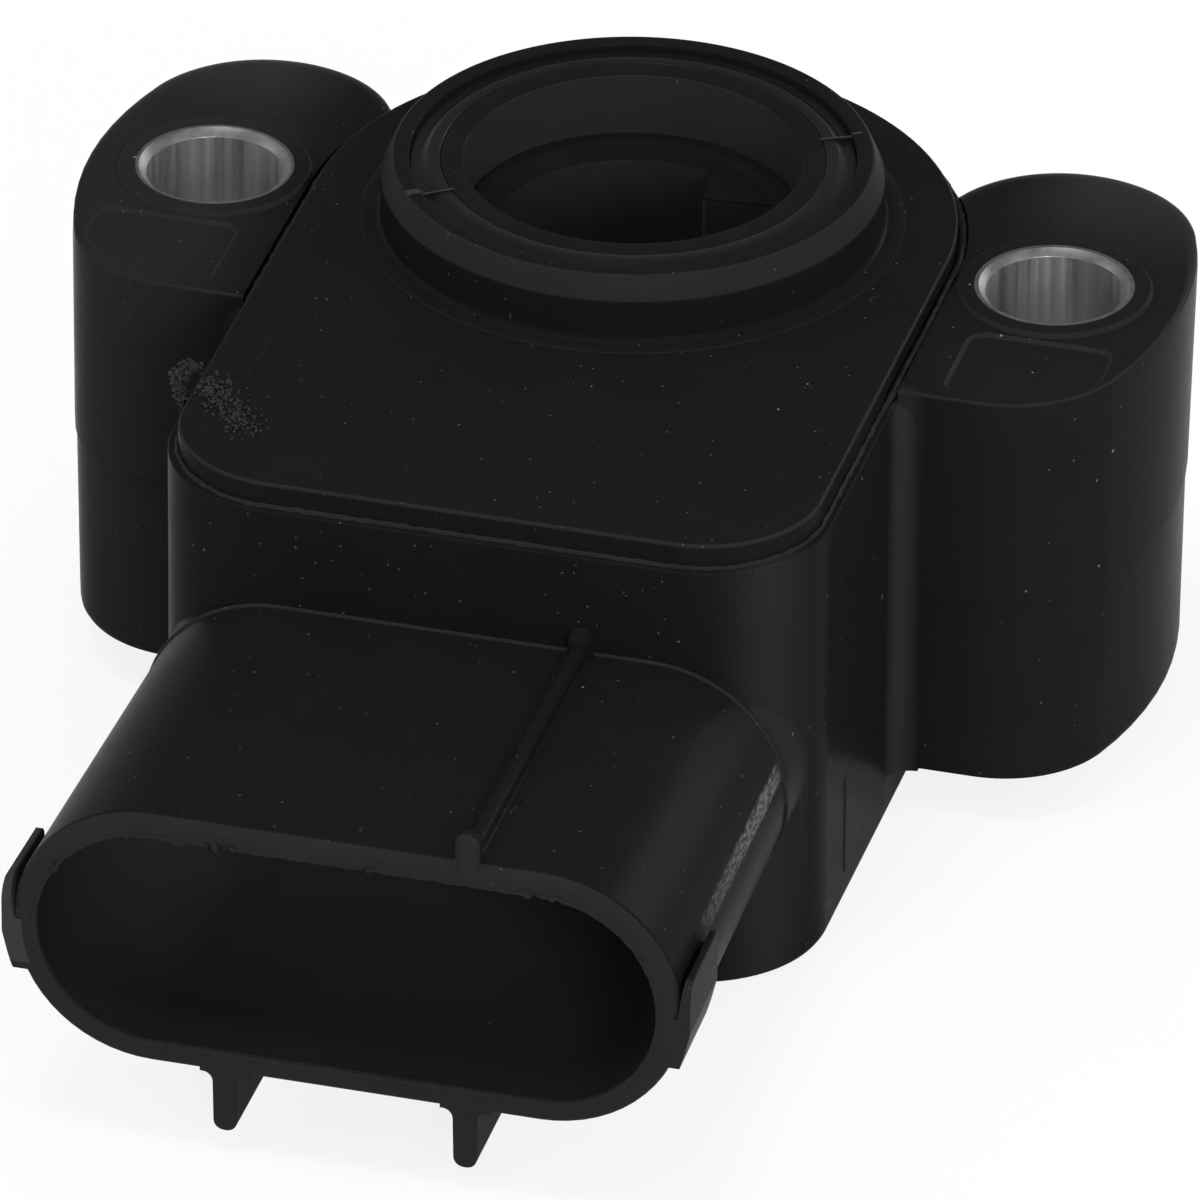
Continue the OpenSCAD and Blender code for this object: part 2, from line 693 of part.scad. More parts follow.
module track_board() {
    pad = [link_w + 0.6, 2.4];
    color([0.1, 0.25, 0.16]) {
        translate([0, 0, floor_z]) difference() {
            linear_extrude(board_t) difference() {
                board_outline();
                circle(r = seat_r + 0.15);
                for (side = [-1, 1]) translate([side * peg_x, peg_y]) circle(r = peg_r + 0.1);
                for (a = [rest_rib_angle, end_rib_angle])
                    rotate(a) sector(stop_inner_r - 0.2, cavity_half_w + 1, stop_rib_half + 1.5);
                rotate(anchor_angle) sector(anchor_inner_r - 0.2, cavity_half_w + 1, anchor_half + 1.5);
            }
        }
        translate([0, 0, board_top - eps]) linear_extrude(track_t + eps) {
            for (r = [track_inner_r, track_outer_r]) difference() {
                circle(r = r + track_w / 2);
                circle(r = r - track_w / 2);
            }
            for (i = [-1, 0, 1]) translate([i * blade_pitch - pad[0] / 2, -foot_end - 1.8]) square(pad);
        }
    }
}

module board_retainers() {
    color([0.6, 0.6, 0.62]) for (side = [-1, 1])
        translate([side * peg_x, peg_y, board_top]) difference() {
            cylinder(r = retainer_r, h = retainer_t);
            translate([0, 0, -1]) cylinder(r = peg_r + seat_gap, h = retainer_t + 2);
        }
}

// A blade with a leg down into the block and a foot above the board
module terminal(x) {
    half = blade_t / 2;
    z = -shroud_mid;
    tip = -shroud_end + socket_len - blade_reach;
    color([0.82, 0.8, 0.74]) translate([x - blade_w / 2, 0, 0]) rotate([90, 0, 90]) linear_extrude(blade_w) {
        polygon([[tip + 1, z - half], [-leg_y - half, z - half], [-leg_y - half, foot_z],
            [-foot_end, foot_z], [-foot_end, foot_z + blade_t], [-leg_y + half, foot_z + blade_t],
            [-leg_y + half, z + half], [tip + 1, z + half], [tip, z + half / 2], [tip, z - half / 2]]);
    }
}

module terminal_supply() { terminal(-blade_pitch); }
module terminal_signal() { terminal(0); }
module terminal_ground() { terminal(blade_pitch); }

// A folded leaf that presses between a blade's foot and the board's pad
module board_link(x) {
    t = 0.2;
    low = board_top + track_t;
    high = foot_z;
    mid = (low + high) / 2;
    back = -foot_end;
    front = back - 2;
    color([0.8, 0.68, 0.42]) translate([x - link_w / 2, 0, 0]) rotate([90, 0, 90])
        linear_extrude(link_w) difference() {
            union() {
                translate([front, low]) square([2, t]);
                translate([front, high - t]) square([2, t]);
                translate([front, mid]) circle(d = high - low);
            }
            translate([front, mid]) circle(d = high - low - 2 * t);
            translate([front, low + t]) square([3, high - low - 2 * t]);
        }
}

module board_link_supply() { board_link(-blade_pitch); }
module board_link_signal() { board_link(0); }
module board_link_ground() { board_link(blade_pitch); }

// The resin that closes the blades' slots on the inside of the front wall
module terminal_seal() {
    z = -shroud_mid;
    color([0.07, 0.06, 0.06]) difference() {
        translate([-resin_half_w, -cavity_front, z - resin_drop - 0.4])
            cube([2 * resin_half_w, cavity_front - resin_back, 2 * resin_drop + 0.8]);
        for (i = [-1, 0, 1]) {
            translate([i * blade_pitch - blade_w / 2, -cavity_front - 1, z - blade_t / 2])
                cube([blade_w, cavity_front - leg_y + 1 + blade_t / 2, blade_t]);
            translate([i * blade_pitch - blade_w / 2, -leg_y - blade_t / 2, z - 5])
                cube([blade_w, blade_t, 5 + blade_t / 2]);
        }
    }
}

housing();
cover();
sleeve_left();
sleeve_right();
collar_seal();
rotor();
rotor_bush();
pivot_pin();
thrust_washer();
return_spring();
wiper_carrier();
wiper();
track_board();
board_retainers();
terminal_supply();
terminal_signal();
terminal_ground();
board_link_supply();
board_link_signal();
board_link_ground();
terminal_seal();
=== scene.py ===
import math

import bmesh
import bpy
from mathutils import Matrix, Vector, noise


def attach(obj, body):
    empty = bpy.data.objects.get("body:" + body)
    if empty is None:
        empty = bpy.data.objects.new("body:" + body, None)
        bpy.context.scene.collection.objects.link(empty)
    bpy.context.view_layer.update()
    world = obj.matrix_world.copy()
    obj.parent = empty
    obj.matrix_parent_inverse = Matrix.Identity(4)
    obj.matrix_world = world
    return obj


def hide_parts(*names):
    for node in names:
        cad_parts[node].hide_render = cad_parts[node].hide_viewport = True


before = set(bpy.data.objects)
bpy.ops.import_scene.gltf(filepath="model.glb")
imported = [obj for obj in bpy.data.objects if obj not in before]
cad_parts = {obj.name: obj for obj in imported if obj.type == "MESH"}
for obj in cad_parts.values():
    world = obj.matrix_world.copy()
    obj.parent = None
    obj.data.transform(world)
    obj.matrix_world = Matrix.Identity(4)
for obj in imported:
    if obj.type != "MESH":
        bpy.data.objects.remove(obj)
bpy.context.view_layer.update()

# ---- The place the sensor is photographed in ----
# A product table in a white tent: a pale floor that the sensor stands on, a long lens from the
# front and a little above, and soft lamps overhead, in front, at both sides and behind.
camera = bpy.data.objects.new("camera", bpy.data.cameras.new("camera"))
bpy.context.scene.collection.objects.link(camera)
to_right, to_top, to_lens = (
    (0.96380614, 0.26651053, 0.00706100),
    (-0.14311519, 0.49485185, 0.85711125),
    (0.22493502, -0.82709962, 0.51508296))
camera.matrix_world = (Matrix.Translation((0.19721834, -0.73008263, 0.43551857))
    @ Matrix((to_right, to_top, to_lens)).transposed().to_4x4())
camera.data.lens = 600
camera.data.sensor_width = 36
camera.data.clip_start = 0.05
camera.data.clip_end = 20
bpy.context.scene.camera = camera
bpy.context.scene.view_settings.view_transform = "Standard"


def put(tree, kind, inputs={}, **settings):
    """Puts a node into a material or a group, sets it, and joins what its inputs are given."""
    node = tree.nodes.new("ShaderNode" + kind)
    for name, value in settings.items():
        setattr(node, name, value)
    for name, value in inputs.items():
        if isinstance(value, bpy.types.NodeSocket):
            tree.links.new(value, node.inputs[name])
        else:
            node.inputs[name].default_value = value
    return node


def white_where_seen(tree, in_view, in_gloss):
    """How much of plain white a ray sees: one share for the camera, one for glossy and clear rays."""
    path = put(tree, "LightPath")
    shiny = put(tree, "Math", {0: path.outputs["Is Glossy Ray"], 1: path.outputs["Is Transmission Ray"]},
        operation="MAXIMUM")
    shiny = put(tree, "Math", {0: shiny.outputs[0], 1: in_gloss}, operation="MULTIPLY")
    return put(tree, "Math", {0: path.outputs["Is Camera Ray"], 1: in_view, 2: shiny.outputs[0]},
        operation="MULTIPLY_ADD").outputs[0]


# white low down, where the tent's walls stand round the table, and dim above them
tent = bpy.data.worlds.new("tent")
bpy.context.scene.world = tent
tent.use_nodes = True
tent.node_tree.nodes.clear()
tent_way = put(tent.node_tree, "SeparateXYZ", {0: put(tent.node_tree, "TexCoord").outputs["Generated"]})
tent_wall = put(tent.node_tree, "MapRange", {"Value": tent_way.outputs["Z"], "From Min": 0.14,
    "From Max": 0.38, "To Min": 1.0, "To Max": 0.16}, interpolation_type="SMOOTHSTEP")
tent_light = put(tent.node_tree, "Background", {"Color": (1, 1, 1, 1), "Strength": 0.55})
tent_white = put(tent.node_tree, "Background", {"Color": (1, 1, 1, 1), "Strength": tent_wall.outputs[0]})
tent_mix = put(tent.node_tree, "MixShader", {0: white_where_seen(tent.node_tree, 1, 1),
    1: tent_light.outputs[0], 2: tent_white.outputs[0]})
put(tent.node_tree, "OutputWorld", {"Surface": tent_mix.outputs[0]})

# the floor, at the height of the sensor's underside
floor_mesh = bmesh.new()
bmesh.ops.create_grid(floor_mesh, x_segments=1, y_segments=1, size=4)
bmesh.ops.translate(floor_mesh, verts=floor_mesh.verts, vec=(0, 0, -0.0212))
floor = bpy.data.objects.new("floor", bpy.data.meshes.new("floor"))
floor_mesh.to_mesh(floor.data)
floor_mesh.free()
bpy.context.scene.collection.objects.link(floor)
floor_paint = bpy.data.materials.new("floor_paint")
floor_paint.use_nodes = True
floor_paint.node_tree.nodes.clear()
floor_white = put(floor_paint.node_tree, "Emission", {"Color": (1, 1, 1, 1), "Strength": 1})
floor_matt = put(floor_paint.node_tree, "BsdfDiffuse", {"Color": (0.9, 0.9, 0.9, 1)})
floor_mix = put(floor_paint.node_tree, "MixShader", {0: white_where_seen(floor_paint.node_tree, 0.85, 0.3),
    1: floor_matt.outputs[0], 2: floor_white.outputs[0]})
# clear from below, so that the sensor's underside shows
floor_below = put(floor_paint.node_tree, "NewGeometry").outputs["Backfacing"]
floor_clear = put(floor_paint.node_tree, "BsdfTransparent")
floor_seen = put(floor_paint.node_tree, "MixShader", {0: floor_below, 1: floor_mix.outputs[0],
    2: floor_clear.outputs[0]})
put(floor_paint.node_tree, "OutputMaterial", {"Surface": floor_seen.outputs[0]})
floor.data.materials.append(floor_paint)

# the soft lamps: name, place, aimed at, width, height, power
for lamp_name, lamp_at, lamp_aim, lamp_w, lamp_h, lamp_power in (
        ("lamp_over", (-0.1, -0.2, 1.0), (0, 0, 0), 0.3, 0.3, 3.6),
        ("lamp_front", (0.55, -0.98, 0.4), (0, 0, 0), 0.4, 0.3, 5.0),
        ("lamp_left", (-0.95, -0.15, 0.5), (0, 0, 0), 0.3, 0.3, 1.8),
        ("lamp_right", (0.8, -0.1, 0.6), (0, 0, 0), 0.3, 0.3, 1.4),
        ("lamp_behind", (0.47, 0.91, 0.28), (0, 0, -0.01), 0.2, 0.5, 2.3)):
    panel = bpy.data.lights.new(lamp_name, "AREA")
    panel.shape, panel.size, panel.size_y, panel.energy = "RECTANGLE", lamp_w, lamp_h, lamp_power
    lamp = bpy.data.objects.new(lamp_name, panel)
    lamp.location = lamp_at
    lamp.rotation_mode = "QUATERNION"
    lamp.rotation_quaternion = (Vector(lamp_aim) - Vector(lamp_at)).to_track_quat("-Z", "Y")
    bpy.context.scene.collection.objects.link(lamp)

# ---- Housing ----
# The body of the sensor: one injection moulding of black glass-filled plastic, with the block that
# holds the works, two screw ears, and the connector's shroud with its ribs and latch tongues.
MM = 0.001
BLOCK_HALF, BLOCK_FRONT, BLOCK_CORNER = 14.65, 26.8, 5.7
BLOCK_FOOT_Z, RIM_Z = -21.2, -0.53
EAR_FOOT_Z, EAR_FRONT_Y = -19.15, -10.35
HOLE_X = 19
RING_FOOT_Z, RING_TOP_Z = -19.35, 0.2
NECK_FOOT_Z, NECK_TOP_Z = -18.75, -0.4
SHROUD_MID_Z, SHROUD_LENGTH, MOUTH = -11.15, 18.2, 45.0


def trace(*corners, fine=6.0):
    """Traces a closed outline through corners of (x, y, radius): each straight run is drawn out
    from the last point, and each rounding is that point spun about the rounding's centre."""
    mesh = bmesh.new()
    first = last = None
    for i, (x, y, radius) in enumerate(corners):
        here = Vector((x, y, 0))
        back = (Vector((*corners[i - 1][:2], 0)) - here).normalized()
        ahead = (Vector((*corners[(i + 1) % len(corners)][:2], 0)) - here).normalized()
        half = back.angle(ahead) / 2
        start = here + back * (radius / math.tan(half) if radius else 0)
        if last is None:
            first = last = mesh.verts.new(start)
        else:
            last = bmesh.ops.extrude_vert_indiv(mesh, verts=[last])["verts"][0]
            last.co = start
        if radius:
            turn = math.copysign(math.pi - 2 * half, -back.cross(ahead).z)
            centre = here + (back + ahead).normalized() * (radius / math.sin(half))
            spun = bmesh.ops.spin(mesh, geom=[last], cent=centre, axis=(0, 0, 1), angle=turn,
                steps=max(2, round(abs(math.degrees(turn)) / fine)))
            last = [v for v in spun["geom_last"] if isinstance(v, bmesh.types.BMVert)][0]
    closing = bmesh.ops.extrude_vert_indiv(mesh, verts=[last])["verts"][0]
    closing.co = first.co
    bmesh.ops.remove_doubles(mesh, verts=mesh.verts, dist=0.008)
    return mesh


def raised(mesh, *layers):
    """Raises an outline into a closed solid. A layer is its height and how far it lies inside the
    outline, each a number or a rule that gives one for a place on the outline."""
    mesh.verts.ensure_lookup_table()
    ring, edge = [mesh.verts[0]], mesh.verts[0].link_edges[0]
    while len(ring) < len(mesh.verts):
        ring.append(edge.other_vert(ring[-1]))
        edge = next(e for e in ring[-1].link_edges if e is not edge)
    if sum(v.co.cross(ring[i - 1].co).z for i, v in enumerate(ring)) > 0:
        ring.reverse()
    plan = [v.co.copy() for v in ring]
    walls = [(plan[(i + 1) % len(plan)] - p).normalized() for i, p in enumerate(plan)]
    walls = [Vector((-w.y, w.x, 0)) for w in walls]
    inward = [(w + walls[i - 1]) / (1 + w.dot(walls[i - 1])) for i, w in enumerate(walls)]
    edges = mesh.edges[:]
    bmesh.ops.contextual_create(mesh, geom=edges)
    for step, (height, inset) in enumerate(layers):
        if step:
            made = bmesh.ops.extrude_edge_only(mesh, edges=edges)["geom"]
            fresh = {v for v in made if isinstance(v, bmesh.types.BMVert)}
            ring = [next(e.other_vert(v) for e in v.link_edges if e.other_vert(v) in fresh) for v in ring]
            edges = [e for e in made if isinstance(e, bmesh.types.BMEdge) and set(e.verts) <= fresh]
        for v, place, way in zip(ring, plan, inward):
            v.co = place + way * (inset(place) if callable(inset) else inset)
            v.co.z = height(place) if callable(height) else height
    bmesh.ops.contextual_create(mesh, geom=edges)
    bmesh.ops.recalc_face_normals(mesh, faces=mesh.faces)
    return mesh


def bead(mesh, *layers):
    """Raises an outline through the layers of a bead's section and closes it on itself, as a ring."""
    mesh = raised(mesh, *layers, layers[0])
    bmesh.ops.delete(mesh, geom=[f for f in mesh.faces if len(f.verts) > 4], context="FACES_ONLY")
    bmesh.ops.remove_doubles(mesh, verts=mesh.verts, dist=1e-4)
    bmesh.ops.recalc_face_normals(mesh, faces=mesh.faces)
    return mesh


def eased_ends(low, high, low_r, high_r, steps=4):
    """Layers of a solid between two heights, with rounded edges at its foot and its top."""
    turns = [math.pi / 2 * k / steps for k in range(steps + 1)]
    foot = [(low + low_r * (1 - math.sin(a)), low_r * (1 - math.cos(a))) for a in reversed(turns)]
    top = [(high - high_r * (1 - math.sin(a)), high_r * (1 - math.cos(a))) for a in turns]
    return (foot if low_r else [(low, 0)]) + (top if high_r else [(high, 0)])


def turned(*corners, fine=20.0, steps=96):
    """Turns a piece on a lathe: its half section in radius and height, spun once round the Z axis."""
    mesh = trace(*corners, fine=fine)
    bmesh.ops.rotate(mesh, verts=mesh.verts, matrix=Matrix.Rotation(math.pi / 2, 3, "X"))
    bmesh.ops.spin(mesh, geom=mesh.verts[:] + mesh.edges[:], axis=(0, 0, 1), angle=math.tau,
        steps=steps, use_merge=True)
    bmesh.ops.remove_doubles(mesh, verts=mesh.verts, dist=1e-4)
    bmesh.ops.delete(mesh, geom=[e for e in mesh.edges if e.is_wire], context="EDGES")
    bmesh.ops.recalc_face_normals(mesh, faces=mesh.faces)
    return mesh


def moved(mesh, x=0, y=0, z=0, turn=0, mirror=False):
    """Sets a mesh in its place: turned about Z, mirrored left to right, then moved."""
    bmesh.ops.rotate(mesh, verts=mesh.verts, matrix=Matrix.Rotation(math.radians(turn), 3, "Z"))
    if mirror:
        bmesh.ops.scale(mesh, verts=mesh.verts, vec=(-1, 1, 1))
        bmesh.ops.reverse_faces(mesh, faces=mesh.faces)
    bmesh.ops.translate(mesh, verts=mesh.verts, vec=(x, y, z))
    return mesh


def joined(base, *tools, how="UNION"):
    """Adds the tools to a mesh, or cuts them from it, one after another."""
    for tool in tools:
        blanks = []
        for mesh in (base, tool):
            blanks.append(bpy.data.objects.new("blank", bpy.data.meshes.new("blank")))
            mesh.to_mesh(blanks[-1].data)
            mesh.free()
            bpy.context.scene.collection.objects.link(blanks[-1])
        step = blanks[0].modifiers.new("step", "BOOLEAN")
        step.object, step.operation, step.solver = blanks[1], how, "EXACT"
        base = bmesh.new()
        base.from_object(blanks[0], bpy.context.evaluated_depsgraph_get())
        for blank in blanks:
            data = blank.data
            bpy.data.objects.remove(blank)
            bpy.data.meshes.remove(data)
        bmesh.ops.remove_doubles(base, verts=base.verts, dist=1e-4)
        bmesh.ops.dissolve_degenerate(base, edges=base.edges, dist=1e-4)
    return base


def set_down(mesh, name, material, body, slot, *nodes, sharp=32):
    """Makes a mesh in millimetres a finished piece that rides on its body and stands for its nodes."""
    bmesh.ops.scale(mesh, verts=mesh.verts, vec=(MM, MM, MM))
    piece = bpy.data.objects.new(name, bpy.data.meshes.new(name))
    mesh.to_mesh(piece.data)
    mesh.free()
    piece.data.shade_smooth()
    piece.data.set_sharp_from_angle(angle=math.radians(sharp))
    piece.data.materials.append(material)
    bpy.context.scene.collection.objects.link(piece)
    even = piece.modifiers.new("even_shading", "WEIGHTED_NORMAL")
    even.keep_sharp = True
    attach(piece, body)
    if nodes:
        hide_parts(*nodes)
    return piece


def tombstone(inset=0, fine=3.0):
    """The block's outline, or one inside it: a full round back and two rounded front corners."""
    side, front, corner = BLOCK_HALF - inset, BLOCK_FRONT - inset, BLOCK_CORNER - inset
    return trace((side, side, side), (-side, side, side), (-side, -front, corner), (side, -front, corner),
        fine=fine)


def ear(mirror):
    """A screw ear: tangent corner and side arcs, a soft back edge, a slight step at the parting line."""

    def behind(place):
        """0 along the front, rising to 1 along the back edge, which is rounded the most."""
        return max(0, min(1, (place.y + 3) / 9))

    layers = [(EAR_FOOT_Z, 0.55), (-19.05, 0.34), (-18.85, 0.22), (-18.6, 0.18), (-10.1, 0.08), (-10.05, 0.0),
        (-1.0, lambda p: -0.03 - 0.22 * behind(p))]
    for k in range(6):
        a = math.pi / 2 * k / 5
        layers.append((lambda p, a=a: -(0.12 + 0.26 * behind(p)) * (1 - math.sin(a)),
            lambda p, a=a: (0.12 + 1.0 * behind(p)) * (1 - math.cos(a)) - 0.22 * behind(p)))
    outline = trace((6, EAR_FRONT_Y, 0), (22.11, EAR_FRONT_Y, 5.5), (25.85, 0, 19.76), (22.11, 10.35, 5.5),
        (13.9, 10.35, 5.5), (12.03, 3.37, 0), (6, 3.37, 0), fine=4.0)
    return moved(raised(outline, *layers), mirror=mirror)


def ear_pocket(mirror):
    """The shallow pocket moulded in front of each ring, as a tool to cut with."""
    outline = trace((16.4, -9.55, 0.5), (20.5, -9.6, 5), (23.0, -7.2, 1.4), (22.9, -4.45, 0.8),
        (16.4, -4.45, 0.9), fine=15)
    return moved(raised(outline, (-0.15, 0.28), (-0.13, 0.18), (-0.03, 0.03), (0.02, -0.04), (0.5, -0.4)),
        mirror=mirror)


def ear_fillet(mirror):
    """The hollow corner between the block and an ear's front wall, arched at its top."""
    corner = Vector((BLOCK_HALF, EAR_FRONT_Y, 0))
    outline = trace((14.0, -9.7, 0), (14.0, -11.55, 0), (BLOCK_HALF, -11.55, 0),
        (BLOCK_HALF, EAR_FRONT_Y, 1.2), (15.85, EAR_FRONT_Y, 0), (15.85, -9.7, 0), fine=9)
    mesh = raised(outline, (-19.0, 0), (-1.9, 0), *[(-0.6 - 1.3 * (1 - math.sin(math.pi / 2 * k / 6)), 0)
        for k in range(1, 6)], (-0.6, 0))
    for v in mesh.verts:
        lift = max(0, (v.co.z + 1.9) / 1.3)
        size = max(0.08, math.sqrt(max(0, 1 - lift * lift)))
        v.co.x = corner.x + (v.co.x - corner.x) * (size if v.co.x > corner.x else 1)
        v.co.y = corner.y + (v.co.y - corner.y) * (size if v.co.y < corner.y else 1)
    return moved(mesh, mirror=mirror)


def ring_post(x):
    """The raised ring round a sleeve, proud of the ear at both ends, with its bore."""
    return moved(turned((0, RING_FOOT_Z, 0), (4.25, RING_FOOT_Z, 0.1), (4.32, 0.0, 0),
        (4.2, RING_TOP_Z, 0.14), (0, RING_TOP_Z, 0)), x=x)


def sleeve_hole(x):
    """The room for a sleeve, narrower where the plastic closes over its necked ends."""
    return moved(turned((0, -21, 0), (3.5, -21, 0), (3.5, NECK_FOOT_Z, 0), (3.82, NECK_FOOT_Z, 0),
        (3.82, NECK_TOP_Z, 0), (3.5, NECK_TOP_Z, 0), (3.5, 1, 0), (0, 1, 0)), x=x)


def along_shroud(mesh):
    """Lays a mesh that was raised along Z out along the shroud, towards the mouth, and flares it."""
    bmesh.ops.rotate(mesh, verts=mesh.verts, matrix=Matrix.Rotation(math.pi / 2, 3, "X"))
    for v in mesh.verts:
        reach = max(0, (-v.co.y - BLOCK_FRONT) / SHROUD_LENGTH)
        wider = 0.986 + 0.0285 * reach
        v.co.x = v.co.x * wider - 0.1 * reach
        v.co.z = v.co.z * wider + SHROUD_MID_Z
    return mesh


def stadium(inset=0, fine=6.0):
    """The shroud's outline at its root, or one inside it: two flat sides and two round ends."""
    side, high = 14.45 - inset, 6.05 - inset
    return trace((side, high, high), (-side, high, high), (-side, -high, high), (side, -high, high),
        fine=fine)


def tongue(mirror):
    """A latch tongue on the shroud's round end: solid below, above it a free lip with a slot behind."""
    section = trace((13.4, -2.35, 0), (14.4, -2.35, 0), (14.6, -1.65, 0.4), (14.85, -0.6, 1),
        (14.86, 1.85, 0.12), (14.54, 1.85, 0.12), (14.32, 0.1, 0.1), (13.4, 0.1, 0), fine=15)
    plate = trace((40.3, -3.2, 0.3), (MOUTH, -3.2, 1.2), (MOUTH, 1.85, 1.0), (40.3, 1.85, 0.25), fine=12)
    plate = raised(plate, *eased_ends(13, 15.3, 0, 0))
    # the plate stands across the shroud: its outline is in length and height, its thickness in X
    bmesh.ops.rotate(plate, verts=plate.verts, matrix=Matrix.Rotation(-math.pi / 2, 3, "Y"))
    for v in plate.verts:
        v.co = Vector((-v.co.x, v.co.y, v.co.z))
    bmesh.ops.recalc_face_normals(plate, faces=plate.faces)
    return moved(joined(raised(section, (40, 0), (45.5, 0)), plate, how="INTERSECT"), mirror=mirror)


def fin(x):
    """A fin under the shroud, hollow at its root and rounded at its tip."""
    section = trace((x - 1.1, -5.5, 0), (x - 1.1, -6.03, 0), (x - 0.55, -6.03, 0.45), (x - 0.5, -8.8, 0.45),
        (x + 0.5, -8.8, 0.45), (x + 0.55, -6.03, 0.45), (x + 1.1, -6.03, 0), (x + 1.1, -5.5, 0), fine=18)
    return raised(section, (21, 0), (44.92, 0), (MOUTH, 0.08))


def key_rib():
    """The rib along the shroud's top, hollow at its foot, that keys the plug."""
    section = trace((4.4, 5.5, 0), (4.4, 6.03, 0), (4.83, 6.03, 0.2), (4.83, 6.6, 0.3), (5.57, 6.6, 0.3),
        (5.57, 6.03, 0.2), (6.0, 6.03, 0), (6.0, 5.5, 0), fine=18)
    return raised(section, (26.2, 0), (44.4, 0))


def key_knob(y, height, depth):
    """A round-headed stud at an end of the key rib."""
    stud = turned((0, -depth, 0), (0.575, -depth, 0), (0.575, height, 0.56), (0, height, 0), steps=32)
    bmesh.ops.rotate(stud, verts=stud.verts, matrix=Matrix.Rotation(-math.pi / 2, 3, "X"))
    bmesh.ops.translate(stud, verts=stud.verts, vec=(5.2, 6.05, y))
    return stud


def sector(inner, outer, half, angle, low, high):
    """A rib of the ring between two radii, centred on an angle."""
    edge = math.radians(half)
    corners = [(r * math.cos(a), r * math.sin(a), 0) for r, a in
        ((inner, -edge), (outer, -edge), (outer, edge), (inner, edge))]
    return moved(raised(trace(*corners), (low, 0), (high, 0)), turn=angle)


# the shroud, raised along its own length, then laid out towards the mouth
shroud = raised(stadium(), (21, 0), (26.5, -0.02), (BLOCK_FRONT, -0.1), (26.86, -0.08), (26.93, 0),
    (44.5, 0), (44.66, 0.04), (44.82, 0.13), (44.94, 0.27), (MOUTH, 0.45))
shroud = joined(shroud, fin(-5.2), fin(5.2), key_rib(), key_knob(44.5, 1.35, 1.0), key_knob(26.9, 1.2, 0.7),
    tongue(False), tongue(True))
shroud_bore = raised(stadium(1.1), (28.4, 0.25), (28.65, 0), (44.8, 0), (44.93, -0.05), (MOUTH, -0.14),
    (46, -0.14))
along_shroud(shroud)
along_shroud(shroud_bore)

# the hollow under the cover, with what stands up in it left out of the cut
hollow = joined(raised(tombstone(1.7), (-18, 0), (1, 0)),
    turned((0, -19, 0), (4.1, -19, 0), (4.1, -16, 0.2), (0, -16, 0)),
    sector(11.4, 13.8, 4, 33, -19, -10.2), sector(11.4, 13.8, 4, 152, -19, -10.2),
    sector(11.4, 13.8, 4, 209, -19, -2.33),
    *[moved(turned((0, -19, 0), (0.85, -19, 0), (0.85, -15.9, 0.2), (0, -15.9, 0), steps=24), x=x, y=-17.5)
        for x in (-9, 9)], how="DIFFERENCE")

block = raised(tombstone(), *eased_ends(BLOCK_FOOT_Z, RIM_Z, 0.5, 0.1))
# the fine line that the mould's parts left on the block's right wall
witness_line = raised(trace((14.4, -18.2, 0), (14.71, -18.17, 0), (14.71, -18.09, 0), (14.4, -18.06, 0)),
    (-19.7, 0.02), (-19.5, 0), (-15.1, 0), (-14.9, 0.02))
housing = joined(block, ear(False), ear(True), ear_fillet(False), ear_fillet(True), ring_post(-HOLE_X),
    ring_post(HOLE_X), shroud, witness_line)
rim_clear = raised(tombstone(-0.02), (RIM_Z, 0), (3, 0))
blade_slots = [moved(raised(trace((-1.42, -0.42, 0), (1.42, -0.42, 0), (1.42, 0.42, 0), (-1.42, 0.42, 0)),
    (23, 0), (30, 0)), x=x) for x in (-6, 0, 6)]
for slot in blade_slots:
    along_shroud(slot)
pin_hole = turned((0, -19.6, 0), (2.02, -19.6, 0), (2.02, -15, 0), (0, -15, 0), steps=48)
housing = joined(housing, rim_clear, ear_pocket(False), ear_pocket(True), sleeve_hole(-HOLE_X),
    sleeve_hole(HOLE_X), hollow, shroud_bore, *blade_slots, pin_hole, how="DIFFERENCE")


def effect(name, usual, *results):
    """Starts a group of shader nodes, with its inputs at their usual values, a pattern's place in
    metres, and how many times the first input, a size in millimetres, goes into a metre."""
    tree = bpy.data.node_groups.new(name, "ShaderNodeTree")
    for socket_name, value in usual.items():
        socket = tree.interface.new_socket(socket_name, in_out="INPUT", socket_type="NodeSocketFloat")
        socket.default_value = value
    for result in results:
        tree.interface.new_socket(result, in_out="OUTPUT", socket_type="NodeSocketFloat")
    given = tree.nodes.new("NodeGroupInput")
    place = put(tree, "TexCoord").outputs["Object"]
    per_metre = put(tree, "Math", {0: 1000.0, 1: given.outputs[0]}, operation="DIVIDE").outputs[0]
    return tree, given, place, per_metre


def grain_group():
    """The eroded skin of moulded plastic: fine grain, slow mottling, and a flow-like unevenness."""
    tree, given, place, per_metre = effect("moulded_skin",
        {"Grain Size": 0.12, "Grain": 0.6, "Mottling": 0.3}, "Height", "Tone")
    fine = put(tree, "TexNoise", {"Vector": place, "Scale": per_metre, "Detail": 3, "Roughness": 0.65})
    slow = put(tree, "TexNoise", {"Vector": place, "Scale": 260, "Detail": 4, "Roughness": 0.6})
    tall = put(tree, "Math", {0: fine.outputs["Fac"], 1: given.outputs["Grain"]}, operation="MULTIPLY")
    wave = put(tree, "Math", {0: slow.outputs["Fac"], 1: 0.8, 2: tall.outputs[0]}, operation="MULTIPLY_ADD")
    tone = put(tree, "Math", {0: slow.outputs["Fac"], 1: 0.5}, operation="SUBTRACT")
    tone = put(tree, "Math", {0: tone.outputs[0], 1: given.outputs["Mottling"]}, operation="MULTIPLY")
    out = tree.nodes.new("NodeGroupOutput")
    tree.links.new(wave.outputs[0], out.inputs["Height"])
    tree.links.new(tone.outputs[0], out.inputs["Tone"])
    return tree


